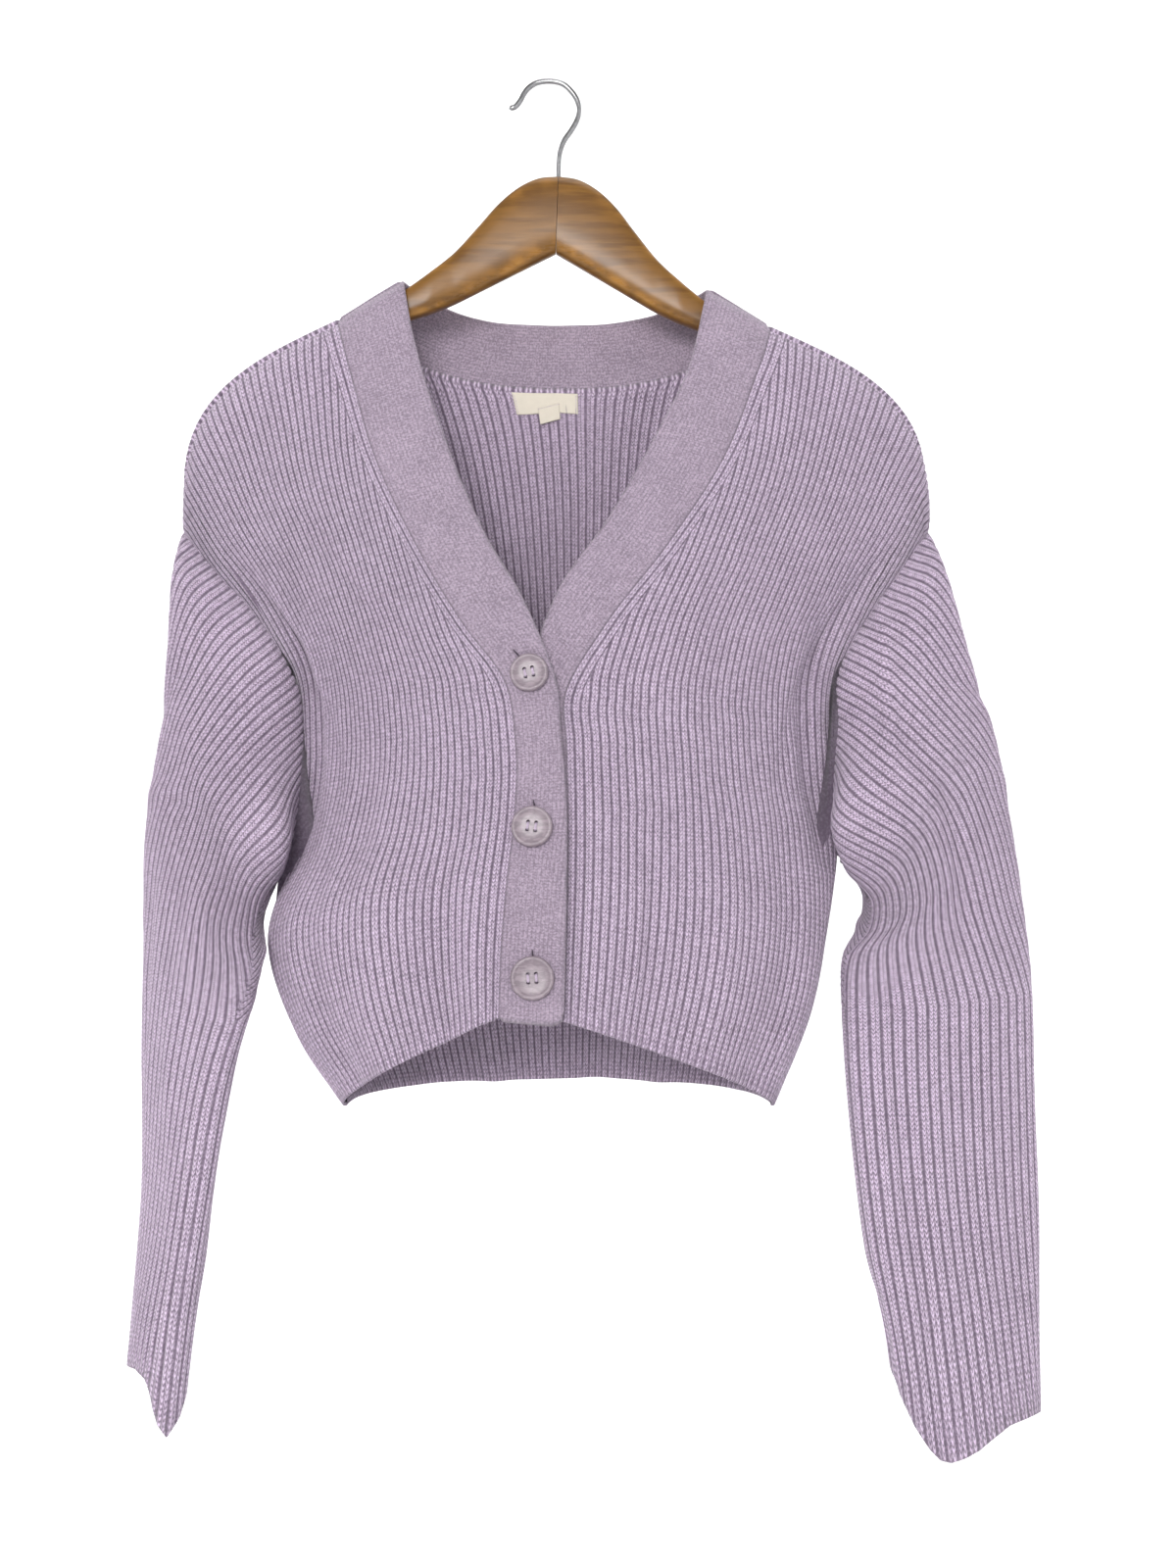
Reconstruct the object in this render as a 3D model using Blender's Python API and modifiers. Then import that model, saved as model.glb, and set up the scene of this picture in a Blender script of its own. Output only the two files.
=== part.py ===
"""Cropped rib-knit cardigan, hung on a wooden clothes hanger.

The garment is worn-cloth walls: two fronts, a back, two sleeves and a three-stretch band,
each lofted through courses (rows of the knitting) that run from a centre edge to a side edge.
Lengths in the tables are millimetres. The front faces -Y, +Z is up, and the origin is the
inner top of the hanger's hook, where a rail holds it.
"""

import math

import bmesh
import bpy
import numpy as np
from mathutils import Matrix, Vector

MM = 0.001

# Cloth
WALL = 3.0  # thickness of the rib knit
BAND_WALL = 3.0  # thickness of the folded band
SEAM_GAP = 0.40  # between two pieces at their seam
UNDERARM = 0.293  # the course where side seam and armhole meet

# A course of a front panel: level from hem (0) to shoulder (1), its end at the centre edge,
# its end at the side seam or armhole, the depth of the back panel's end there, how square
# its corner is, how much of its fall hangs at the side, how the ribs crowd to the side, and
# how straight it runs back into the seam there.
FRONT_COLUMNS = (
    "level", "centre_x", "centre_y", "centre_z", "side_x", "side_y", "side_z",
    "back_y", "square", "hang", "crowd", "flat",
)
FRONT_LEFT_COURSES = (
    (0.000, -28, -92, -557, -125, -14, -622, -14, 2.3, 0.35, 0.00, 0.0),
    (0.092, -27, -86, -522, -153, -6, -583, -6, 2.4, 0.40, 0.00, 0.0),
    (0.194, -24, -78, -483, -173, 4, -527, 4, 2.3, 0.45, 0.02, 0.1),
    (0.293, -20, -70, -445, -161, 8, -475, 8, 2.1, 0.40, 0.10, 0.6),
    (0.400, -20, -64, -403, -154, 0, -425, 20, 2.0, 0.35, 0.20, 1.0),
    (0.485, -27, -58, -368, -153, -4, -393, 24, 2.1, 0.35, 0.24, 1.0),
    (0.562, -50, -52, -337, -155, -9, -368, 26, 2.2, 0.35, 0.22, 1.0),
    (0.683, -80, -43, -287, -176, -14, -331, 24, 2.4, 0.35, 0.14, 1.0),
    (0.815, -106, -32, -231, -205, -13, -299, 18, 2.6, 0.45, 0.08, 0.9),
    (0.915, -119, -22, -188, -219, -10, -282, 12, 3.0, 0.55, 0.04, 0.7),
    (0.979, -128, -14, -156, -224, -7, -277, 7, 3.4, 0.62, 0.00, 0.5),
    (0.993, -130, -8, -149, -225, -4, -275, 4, 3.5, 0.64, 0.00, 0.5),
    (1.000, -131, -1, -147, -226, -1, -275, -1, 3.6, 0.65, 0.00, 0.5),
)
FRONT_RIGHT_COURSES = (
    (0.000, 7, -86, -560, 132, -14, -622, -14, 2.3, 0.35, 0.00, 0.0),
    (0.092, 8, -80, -524, 154, -6, -571, -6, 2.4, 0.40, 0.00, 0.0),
    (0.194, 9, -72, -483, 166, 4, -521, 4, 2.3, 0.45, 0.02, 0.1),
    (0.293, 9, -64, -445, 174, 8, -471, 8, 2.1, 0.40, 0.08, 0.6),
    (0.400, 8, -58, -403, 171, 2, -425, 20, 2.0, 0.35, 0.16, 1.0),
    (0.467, 7, -54, -378, 169, -2, -393, 24, 2.1, 0.35, 0.20, 1.0),
    (0.562, 30, -50, -337, 171, -9, -363, 26, 2.2, 0.35, 0.20, 1.0),
    (0.683, 68, -42, -287, 189, -14, -329, 24, 2.4, 0.35, 0.14, 1.0),
    (0.815, 103, -31, -231, 211, -13, -298, 18, 2.6, 0.45, 0.08, 0.9),
    (0.915, 120, -21, -187, 223, -10, -281, 12, 3.0, 0.55, 0.04, 0.7),
    (0.979, 129, -14, -161, 227, -7, -277, 7, 3.4, 0.62, 0.00, 0.5),
    (0.993, 131, -8, -153, 228, -4, -275, 4, 3.5, 0.64, 0.00, 0.5),
    (1.000, 131, -1, -151, 228, -1, -275, -1, 3.6, 0.65, 0.00, 0.5),
)
# The back's courses run from its middle to both side edges, which the fronts' tables give.
BACK_COLUMNS = ("level", "x", "y", "z", "square", "hang", "flat")
BACK_COURSES = (
    (0.000, 9, 62, -620, 2.4, 0.80, 0.0),
    (0.092, 9, 59, -577, 2.4, 0.70, 0.0),
    (0.194, 8, 56, -528, 2.4, 0.60, 0.1),
    (0.293, 8, 53, -478, 2.3, 0.50, 0.4),
    (0.400, 7, 49, -425, 2.2, 0.40, 0.7),
    (0.562, 7, 44, -352, 2.3, 0.35, 0.7),
    (0.683, 6, 40, -300, 2.5, 0.35, 0.7),
    (0.815, 5, 37, -246, 2.8, 0.40, 0.6),
    (0.915, 3, 34, -207, 3.2, 0.50, 0.5),
    (1.000, 1, 32, -180, 3.5, 0.60, 0.5),
)
NECK_SHARE = 0.44  # share of the back's half width that is neck, along its top edge
NECK_DEPTH = 33.0  # from the shoulder point back to the middle of the back neck
NECK_DROP = 32.0  # from the shoulder point down to it

# Soft folds: where on the course (0 centre, 1 side) the fold lies at its low and high end,
# the levels that it spans, its half width as a share of the course, and its height.
FOLD_COLUMNS = ("low", "high", "start", "end", "width", "height")
LEFT_FOLDS = (
    (0.90, 0.86, 0.24, 0.80, 0.050, -7.0),
    (0.10, 0.03, -0.20, 0.30, 0.060, 5.0),
    (0.24, 0.16, -0.20, 0.34, 0.060, -6.0),
    (0.45, 0.40, -0.20, 0.42, 0.080, 4.5),
    (0.68, 0.62, -0.20, 0.30, 0.070, -4.0),
    (0.30, 0.50, 0.52, 0.82, 0.070, -2.5),
)
RIGHT_FOLDS = (
    (0.88, 0.84, 0.26, 0.82, 0.050, -8.0),
    (0.12, 0.08, -0.20, 0.34, 0.060, 4.5),
    (0.30, 0.22, -0.20, 0.30, 0.055, -6.0),
    (0.50, 0.46, -0.20, 0.36, 0.080, 4.5),
    (0.72, 0.70, -0.20, 0.32, 0.060, -4.0),
    (0.45, 0.30, 0.48, 0.80, 0.080, -2.5),
)
BACK_FOLDS = (
    (-0.82, -0.80, 0.20, 0.80, 0.055, -6.0),
    (0.84, 0.80, 0.22, 0.82, 0.055, -6.5),
    (-0.55, -0.48, -0.20, 0.40, 0.070, 5.0),
    (-0.30, -0.26, -0.20, 0.32, 0.060, -5.0),
    (0.12, 0.10, -0.20, 0.36, 0.070, 4.5),
    (0.38, 0.34, -0.20, 0.30, 0.060, -5.5),
    (0.64, 0.56, -0.20, 0.42, 0.070, 4.5),
)

# A ring of a sleeve: share of its length from the armhole (0) to the cuff (1), its middle,
# half its flat width, half its thickness, the slope of its flat width in the front view, how
# far its inner edge is turned forward, and how square it is. Angles are in degrees.
RING_COLUMNS = ("share", "x", "y", "z", "half", "thick", "tilt", "turn", "square")
SLEEVE_LEFT_RINGS = (
    (0.00, -192, 4, -373, 104, 10, 71, 0, 2.2),
    (0.08, -198, 0, -389, 97, 18, 71, 2, 3.0),
    (0.18, -202, -7, -419, 78, 22, 67, 5, 3.0),
    (0.28, -206, -14, -452, 62, 22, 60, 14, 3.0),
    (0.38, -208, -20, -479, 56, 21, 49, 30, 3.0),
    (0.48, -211, -20, -510, 60, 20, 30, 43, 2.1),
    (0.58, -216, -11, -546, 60, 20, 12, 51, 2.1),
    (0.70, -225, -4, -604, 58, 18, 3, 58, 2.1),
    (0.82, -231, 0, -675, 54, 17, 2, 64, 2.1),
    (0.92, -236, 0, -737, 50, 18, 9, 69, 2.1),
    (1.00, -240, 0, -786, 47, 19, 22, 72, 2.1),
)
SLEEVE_RIGHT_RINGS = (
    (0.00, 198, 4, -370, 101, 10, 74, 0, 2.2),
    (0.08, 207, 0, -387, 94, 19, 73, 2, 3.0),
    (0.18, 218, -7, -419, 76, 23, 65, 5, 3.0),
    (0.28, 226, -14, -446, 66, 24, 56, 12, 3.0),
    (0.38, 229, -18, -478, 58, 23, 39, 18, 3.0),
    (0.48, 229, -15, -512, 61, 22, 18, 18, 2.2),
    (0.58, 233, -8, -550, 62, 21, 5, 16, 2.2),
    (0.70, 237, -2, -612, 61, 20, 0, 14, 2.2),
    (0.82, 242, 0, -682, 58, 20, 1, 14, 2.2),
    (0.92, 247, 0, -752, 53, 25, 1, 17, 2.1),
    (1.00, 252, 0, -826, 48, 30, 2, 20, 2.1),
)
RING_SETTLES = 0.22  # share of the sleeve over which the armhole's shape dies away
SLEEVE_LEFT_FOLDS = (
    (0.16, 0.12, 0.35, 1.20, 0.035, -3.0),
    (0.36, 0.33, 0.10, 0.75, 0.040, 3.0),
    (0.72, 0.66, 0.20, 1.20, 0.040, -3.5),
)
SLEEVE_RIGHT_FOLDS = (
    (0.28, 0.22, 0.02, 0.52, 0.030, -5.0),
    (0.42, 0.36, 0.25, 1.20, 0.030, -3.0),
    (0.70, 0.66, 0.10, 0.80, 0.050, -4.0),
)

# Lobes of a sleeve, where the cloth billows: the share round the ring and along the sleeve,
# the reach each way, and how far it is pushed inward, forward and up.
LOBE_COLUMNS = ("round", "share", "round_reach", "share_reach", "inward", "forward", "up")
SLEEVE_LEFT_LOBES = (
    (0.41, 0.13, 0.06, 0.07, 16, 14, 0),
    (0.25, 0.20, 0.12, 0.12, 0, 8, 0),
    (0.04, 0.04, 0.06, 0.04, -4, 0, 5),
)
SLEEVE_RIGHT_LOBES = (
    (0.40, 0.12, 0.07, 0.07, 22, 14, 0),
    (0.25, 0.22, 0.12, 0.12, 0, 8, 0),
    (0.04, 0.04, 0.06, 0.04, -4, 0, 5),
)

# The line a cuff's crumpled edge hangs along, drawn as it shows to an eye well in front.
CUFF_COLUMNS = ("x", "z")
CUFF_LEFT = (
    (-264, -773),
    (-262, -783),
    (-256, -786),
    (-250, -792),
    (-247, -800),
    (-245, -811),
    (-242, -821),
    (-237, -828),
    (-230, -816),
    (-226, -802),
    (-224, -782),
    (-219, -752),
)
CUFF_RIGHT = (
    (202, -770),
    (212, -800),
    (222, -821),
    (231, -836),
    (237, -842),
    (244, -844),
    (252, -841),
    (261, -836),
    (279, -821),
    (290, -816),
    (299, -811),
    (302, -794),
)
CUFF_FROM = 0.85  # share of a sleeve below which it is drawn to that line
EYE = (21.0, -950.0, -428.4)

# The band's free edge: level of the front course beside it, and where the edge is there.
EDGE_COLUMNS = ("level", "x", "y", "z")
BAND_LEFT_EDGE = (
    (0.000, 7, -92, -560),
    (0.150, 8, -84, -503),
    (0.300, 8, -71, -440),
    (0.400, 5, -65, -400),
    (0.485, 1, -60, -366),
    (0.562, -15, -54, -326),
    (0.683, -41, -46, -280),
    (0.815, -65, -33, -222),
    (0.915, -81, -21, -174),
    (0.979, -89, -13, -138),
    (0.993, -91, -8, -127),
    (1.000, -92, -1, -122),
)
BAND_RIGHT_EDGE = (
    (0.000, -25, -86, -556),
    (0.150, -22, -76, -500),
    (0.300, -18, -64, -440),
    (0.400, -17, -58, -398),
    (0.467, -13, -54, -366),
    (0.562, 3, -50, -319),
    (0.683, 33, -43, -274),
    (0.815, 64, -32, -218),
    (0.915, 83, -21, -176),
    (0.979, 91, -13, -142),
    (0.993, 93, -8, -132),
    (1.000, 94, -1, -127),
)
BACK_NECK_RISE = 45.0  # the back band's height
BACK_NECK_LEAN = 10.0  # how far its free edge leans back

# Trim
TRIM_THICK = 0.6
TRIM_GAP = 0.35  # from a trim piece to what it lies on
LABEL = {"left": -28.0, "right": 14.5, "low": 0.958, "high": 0.997, "slant": 0.0}
SIZE_TAB = {"left": -12.5, "right": 1.5, "low": 0.940, "high": 0.972, "slant": 1.2}
BUTTONS = {  # X and Z of the middle, radius, and turn in degrees
    "button_top": (-12.4, -365.0, 11.2, 12.0),
    "button_middle": (-10.4, -453.0, 11.8, -6.0),
    "button_bottom": (-9.8, -536.4, 12.3, 4.0),
}
BUTTON_THICK = 3.6
BUTTON_RIM = 0.9  # how far the rim stands over the dish
BUTTON_HOLE = 1.1  # radius of one of the four holes
BUTTON_PITCH = 2.3  # from the middle to a hole, along X and along Z
BUTTON_STEPS = 32

# Hanger
HANGER_X = 3.0
HANGER_TOP = -57.0
HANGER_TILT = -2.0  # degrees; the right arm hangs lower
HANGER_JOIN = 0.3  # glue line between the two arms
ARM_COLUMNS = ("reach", "top", "bottom", "thick", "forward")
ARM_SECTIONS = (
    (0, 0.0, -47.0, 15.0, 0.0),
    (12, -1.5, -53.5, 15.0, 0.0),
    (24, -7.5, -60.0, 15.0, 0.0),
    (36, -18.0, -66.5, 14.8, 0.0),
    (48, -32.5, -73.0, 14.6, 0.0),
    (62, -49.0, -80.5, 14.4, 0.3),
    (76, -61.5, -87.0, 14.0, 1.5),
    (91, -73.2, -92.5, 12.0, 2.0),
    (112, -88.3, -104.5, 11.0, 3.5),
    (134, -103.0, -118.0, 9.5, 3.8),
    (170, -122.5, -136.0, 9.0, 3.5),
    (196, -144.0, -156.0, 8.0, 3.5),
    (204, -154.0, -162.0, 6.0, 3.5),
)
ARM_ROUND = 0.72  # 1 makes an arm's section an ellipse, 0 a rectangle
WIRE = 1.65  # radius of the hook's wire
HOOK_ROUTE = (
    (-27.5, -15.0), (-23.5, -13.8), (-20.6, -10.4), (-18.6, -6.6), (-15.4, -2.4),
    (-10.8, 0.6), (-5.4, 1.75), (0.0, 1.65), (5.4, 0.2), (10.4, -4.0), (14.2, -9.6),
    (15.6, -15.6), (14.2, -22.0), (10.6, -28.6), (6.4, -34.6), (4.0, -41.0),
    (3.2, -47.0), (3.0, -53.0), (3.0, -60.0), (3.0, -82.0),
)

# Colours: linear red, green, blue
LAVENDER = (0.40, 0.31, 0.43, 1.0)
BAND_GREY = (0.37, 0.29, 0.38, 1.0)
CREAM = (0.70, 0.64, 0.54, 1.0)
MAUVE = (0.42, 0.34, 0.42, 1.0)
WOOD = (0.27, 0.12, 0.035, 1.0)
CHROME = (0.62, 0.62, 0.63, 1.0)

# Counts of the faceted walls
COURSE_CELLS = 12
NECK_CELLS = 12
RING_CELLS = 16
BELOW_UNDERARM = 6
ABOVE_UNDERARM = (0.36, 0.43, 0.50, 0.562, 0.62, 0.69, 0.76, 0.84, 0.915,
                  0.95, 0.979, 0.993, 1.0)


def rows_of(names, table):
    """A table's columns by name, as arrays."""
    return dict(zip(names, np.array(table, float).T))


def smooth(knots, values, at):
    """A cubic through values at knots, with each knot's slope taken from its neighbours."""
    values = np.asarray(values, float)
    at = np.atleast_1d(np.asarray(at, float))
    slopes = np.gradient(values, knots, axis=0)
    i = np.clip(np.searchsorted(knots, at, "right") - 1, 0, len(knots) - 2)
    span = (knots[i + 1] - knots[i]).reshape((-1,) + (1,) * (values.ndim - 1))
    u = (at - knots[i]).reshape(span.shape) / span
    rise = u * u * (3 - 2 * u)
    bend = slopes[i] * u * (1 - u) ** 2 - slopes[i + 1] * u * u * (1 - u)
    return values[i] * (1 - rise) + values[i + 1] * rise + bend * span


def ease(low, high, at):
    """0 below low, 1 above high, smooth between."""
    u = np.clip((np.asarray(at, float) - low) / (high - low), 0, 1)
    return u * u * (3 - 2 * u)


def spread(points, shares):
    """Points at the given shares of a polyline's length."""
    run = np.concatenate([[0], np.cumsum(np.linalg.norm(np.diff(points, axis=0), axis=1))])
    at = np.asarray(shares) * run[-1]
    return np.stack([np.interp(at, run, points[:, axis]) for axis in range(3)], -1)


def course(centre, side, square, hang, flat, shares):
    """One row of knitting: a superellipse quarter from the centre edge to the side edge."""
    angle = np.linspace(0, math.pi / 2, 80)
    out = np.sin(angle) ** (2 / square)
    turn = 1 - np.abs(np.cos(angle)) ** (2 / square)
    back = (1 - flat) * turn + flat * out ** 2
    mixed = np.stack([out, back, (1 - hang) * out + hang * turn], -1)
    return spread(centre + (side - centre) * mixed, shares)


def fold_height(folds, level, shares):
    """Height of the soft folds over a grid of courses and shares."""
    height = np.zeros((len(level), len(shares)))
    for row in folds:
        fold = dict(zip(FOLD_COLUMNS, row))
        along = np.clip((level - fold["start"]) / (fold["end"] - fold["start"]), 0, 1)
        middle = fold["low"] + (fold["high"] - fold["low"]) * along
        fade = np.sin(math.pi * along) ** 0.7
        across = (shares[None, :] - middle[:, None]) / fold["width"]
        height += fold["height"] * fade[:, None] * np.exp(-(across ** 2))
    return height


def normals_of(grid, closed=False):
    """Unit normals of a grid of points, from its two directions."""
    if closed:
        wrapped = np.concatenate([grid[:, -2:-1], grid, grid[:, 1:2]], axis=1)
        across = (wrapped[:, 2:] - wrapped[:, :-2])
    else:
        across = np.gradient(grid, axis=1)
    along = np.gradient(grid, axis=0)
    normal = np.cross(across, along)
    return normal / np.maximum(np.linalg.norm(normal, axis=-1, keepdims=True), 1e-9)


def front_grid(courses, folds, levels, shares, outward):
    """A front panel: a row of points for each level, from the centre edge to the side edge."""
    table = rows_of(FRONT_COLUMNS, courses)
    at = {name: smooth(table["level"], table[name], levels) for name in FRONT_COLUMNS[1:]}
    grid = []
    for i in range(len(levels)):
        centre = np.array([at["centre_x"][i], at["centre_y"][i], at["centre_z"][i]])
        side = np.array([at["side_x"][i], at["side_y"][i], at["side_z"][i]])
        crowded = shares + at["crowd"][i] * shares * (1 - shares)
        grid.append(course(centre, side, at["square"][i], at["hang"][i], at["flat"][i], crowded))
    grid = np.array(grid)
    height = fold_height(folds, levels, shares)
    height *= ease(0, 0.08, shares) * ease(0, 0.08, 1 - shares)
    return grid + normals_of(grid) * outward * height[..., None]


def side_edge(courses, levels, behind=False):
    """A front's side seam and armhole edge, or the back's beside it."""
    table = rows_of(FRONT_COLUMNS, courses)
    edge = np.stack([smooth(table["level"], table[name], levels)
                     for name in ("side_x", "side_y", "side_z")], -1)
    if behind:
        above = np.asarray(levels) > UNDERARM
        edge[above, 1] = smooth(table["level"], table["back_y"], levels)[above]
    return edge


def shoulder_line(courses, shares):
    """The top course of a front, which the back shares."""
    top = dict(zip(FRONT_COLUMNS, courses[-1]))
    centre = np.array([top["centre_x"], top["centre_y"], top["centre_z"]], float)
    side = np.array([top["side_x"], top["side_y"], top["side_z"]], float)
    return course(centre, side, top["square"], top["hang"], top["flat"], shares)


def back_top(shares):
    """The back's top edge: shoulder, neck, shoulder, for shares from -1 to 1."""
    left = shoulder_line(FRONT_LEFT_COURSES, (-shares - NECK_SHARE).clip(0) / (1 - NECK_SHARE))
    right = shoulder_line(FRONT_RIGHT_COURSES, (shares - NECK_SHARE).clip(0) / (1 - NECK_SHARE))
    across = (shares / NECK_SHARE).clip(-1, 1)
    start = shoulder_line(FRONT_LEFT_COURSES, np.zeros(1))[0]
    end = shoulder_line(FRONT_RIGHT_COURSES, np.zeros(1))[0]
    neck = start + (end - start) * ((across + 1) / 2)[:, None]
    neck[:, 1] += NECK_DEPTH * (1 - np.abs(across) ** 3.8)
    neck[:, 2] -= NECK_DROP * (1 - np.abs(across) ** 2.35)
    top = np.where((shares < -NECK_SHARE)[:, None], left, neck)
    return np.where((shares > NECK_SHARE)[:, None], right, top)


def back_grid(levels, shares):
    """The back panel: a row of points for each level, from picture left to picture right."""
    table = rows_of(BACK_COLUMNS, BACK_COURSES)
    at = {name: smooth(table["level"], table[name], levels) for name in BACK_COLUMNS[1:]}
    left = side_edge(FRONT_LEFT_COURSES, levels, behind=True)
    right = side_edge(FRONT_RIGHT_COURSES, levels, behind=True)
    grid = []
    for i in range(len(levels)):
        middle = np.array([at["x"][i], at["y"][i], at["z"][i]])
        halves = [course(middle, side, at["square"][i], at["hang"][i], at["flat"][i],
                         np.abs(shares)) for side in (left[i], right[i])]
        grid.append(np.where((shares < 0)[:, None], halves[0], halves[1]))
    grid = np.array(grid)
    height = fold_height(BACK_FOLDS, levels, shares) * ease(0, 0.08, 1 - np.abs(shares))
    height *= (1 - ease(0.8, 0.95, levels))[:, None]
    grid -= normals_of(grid) * height[..., None]
    middle = np.array([[table[name][-1] for name in ("x", "y", "z")]])
    ends = [side_edge(c, [1.0], behind=True)[0] for c in (FRONT_LEFT_COURSES, FRONT_RIGHT_COURSES)]
    top = [table[name][-1] for name in ("square", "hang", "flat")]
    halves = [course(middle[0], end, *top, np.abs(shares)) for end in ends]
    plain_top = np.where((shares < 0)[:, None], halves[0], halves[1])
    climb = np.clip((levels - 0.7) / 0.3, 0, 1)
    pull = 1 - np.sqrt(1 - climb ** 2)
    return grid + (back_top(shares) - plain_top) * pull[:, None, None]


def armhole(courses, levels):
    """The armhole's loop, down the front from the top and up the back, and its shares."""
    above = np.concatenate([[UNDERARM], [level for level in levels if level > UNDERARM]])
    down = side_edge(courses, above)[::-1]
    up = side_edge(courses, above, behind=True)
    shares = []
    for start, half in ((0.0, down), (0.5, up)):
        run = np.concatenate([[0], np.cumsum(np.linalg.norm(np.diff(half, axis=0), axis=1))])
        shares.append(start + 0.5 * run / run[-1])
    return np.concatenate([down, up[1:]]), np.concatenate([shares[0], shares[1][1:]])


def ring_points(ring, outer, shares):
    """A closed superellipse ring from its outer end round by the front."""
    tilt = math.radians(ring["tilt"])
    turn = math.radians(ring["turn"])
    angle = np.linspace(0, 2 * math.pi, 241)
    power = 2 / ring["square"]
    wide = np.sign(np.cos(angle)) * np.abs(np.cos(angle)) ** power
    deep = np.sign(np.sin(angle)) * np.abs(np.sin(angle)) ** power
    chord = np.array([outer * math.cos(tilt) * math.cos(turn),
                      math.cos(tilt) * math.sin(turn), math.sin(tilt)])
    forward = np.array([outer * math.sin(turn), -math.cos(turn), 0.0])
    middle = np.array([ring["x"], ring["y"], ring["z"]])
    points = (middle + wide[:, None] * ring["half"] * chord
              + deep[:, None] * ring["thick"] * forward)
    return spread(points, shares)


def lobe_push(lobes, outer, along, shares):
    """How far the lobes move each point of a sleeve's grid."""
    push = np.zeros((len(along), len(shares), 3))
    for row in lobes:
        lobe = dict(zip(LOBE_COLUMNS, row))
        round_away = (shares - lobe["round"] + 0.5) % 1.0 - 0.5
        far = ((round_away / lobe["round_reach"])[None, :] ** 2
               + ((along - lobe["share"]) / lobe["share_reach"])[:, None] ** 2)
        move = np.array([-outer * lobe["inward"], -lobe["forward"], lobe["up"]])
        push += np.exp(-far)[..., None] * move
    return push * ease(0, 0.03, along)[:, None, None]


def cuff_drop(cuff, ring):
    """How far each point of a sleeve's last ring comes down to reach the cuff's line."""
    table = rows_of(CUFF_COLUMNS, cuff)
    nearness = (ring[:, 1] - EYE[1]) / -EYE[1]
    seen = EYE[0] + (ring[:, 0] - EYE[0]) / nearness
    line = np.interp(seen, table["x"], table["z"])
    return EYE[2] + (line - EYE[2]) * nearness - ring[:, 2]


def sleeve_grid(rings, courses, folds, lobes, cuff, outer, levels, along, shares=None):
    """A sleeve: a closed ring of points for each share of its length."""
    loop, loop_shares = armhole(courses, levels)
    if shares is None:
        shares = loop_shares
    seam = np.stack([np.interp(shares, loop_shares, loop[:, axis]) for axis in range(3)], -1)
    table = rows_of(RING_COLUMNS, rings)
    at = {name: smooth(table["share"], table[name], along) for name in RING_COLUMNS[1:]}
    first = {name: table[name][0] for name in RING_COLUMNS[1:]}
    plain = ring_points(first, outer, shares)
    grid = []
    for i, share in enumerate(along):
        ring = {name: at[name][i] for name in at}
        keep = 1 - ease(0, RING_SETTLES, share)
        grid.append(ring_points(ring, outer, shares) + (seam - plain) * keep)
    grid = np.array(grid)
    grid += lobe_push(lobes, outer, along, shares)
    grid[..., 2] += cuff_drop(cuff, grid[-1]) * ease(CUFF_FROM, 1.0, along)[:, None]
    height = fold_height(folds, along, shares) * ease(0, 0.10, along)[:, None]
    return grid + normals_of(grid, closed=True) * outer * height[..., None]


def strip_grid(seam, edge, cells):
    """A strip from a seam to a free edge."""
    share = np.linspace(0, 1, cells + 1)
    return seam[:, None] + (edge - seam)[:, None] * share[None, :, None]


def band_edge(table, levels):
    """The free edge of a front band beside the given courses."""
    columns = rows_of(EDGE_COLUMNS, table)
    return np.stack([smooth(columns["level"], columns[name], levels)
                     for name in ("x", "y", "z")], -1)


def back_band_edge(seam, start, end):
    """The free edge of the band behind the neck, above each point of its seam."""
    across = np.sin(np.linspace(-math.pi / 2, math.pi / 2, len(seam)))
    edge = start + (end - start) * ((across + 1) / 2)[:, None]
    middle = seam[len(seam) // 2]
    flat = 1 - np.abs(across) ** 3.6
    edge[:, 1] += (middle[1] + BACK_NECK_LEAN - edge[:, 1]) * flat
    edge[:, 2] += (middle[2] + BACK_NECK_RISE - edge[:, 2]) * (1 - np.abs(across) ** 2.6)
    return edge


def share_normals(pieces, reach=0.6):
    """At seams, gives the points of both pieces one mitred normal, so their walls meet."""
    rims = []
    for key, piece in enumerate(pieces.values()):
        rows, columns = piece["grid"].shape[:2]
        rim = [(i, j) for i in range(rows) for j in range(columns)
               if i in (0, rows - 1) or j in (0, columns - 1)]
        rims += [(key, i, j) for i, j in rim]
    listed = list(pieces.values())
    points = np.array([listed[k]["grid"][i, j] for k, i, j in rims])
    normals = np.array([listed[k]["normal"][i, j] for k, i, j in rims])
    owner = np.array([k for k, _, _ in rims])
    for here, (k, i, j) in enumerate(rims):
        near = np.linalg.norm(points - points[here], axis=1) < reach
        if not (near & (owner != k)).any():
            continue
        total = np.zeros(3)
        for other in set(owner[near]):
            part = normals[near & (owner == other)].mean(axis=0)
            total += part / np.linalg.norm(part)
        total /= np.linalg.norm(total)
        slant = float(total @ normals[here])
        if slant > 0.3:
            listed[k]["mitred"][i, j] = total / max(0.7, slant)
        crowd = len(set(owner[near])) - 2
        listed[k]["sewn"][i, j] = min(18.0, 1 + max(0.0, 0.93 - slant) * 22 + 13.0 * crowd)


def pull_back(piece):
    """Draws sewn edges back by half the seam gap."""
    grid = piece["grid"]
    moved = grid.copy()
    rows, columns = grid.shape[:2]
    for i in range(rows):
        for j in range(columns):
            pull = piece["sewn"][i, j] * SEAM_GAP / 2
            for di, dj in ((1, 0), (-1, 0), (0, 1), (0, -1)):
                edge_here = (i - di < 0 or i - di >= rows) if di else (
                    (j - dj < 0 or j - dj >= columns) and not piece["closed"])
                if not edge_here:
                    continue
                inward = grid[i + di, j + dj] - grid[i, j]
                cell = np.linalg.norm(inward)
                moved[i, j] += inward / cell * min(pull, 0.5 * cell)
    piece["grid"] = moved


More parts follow.
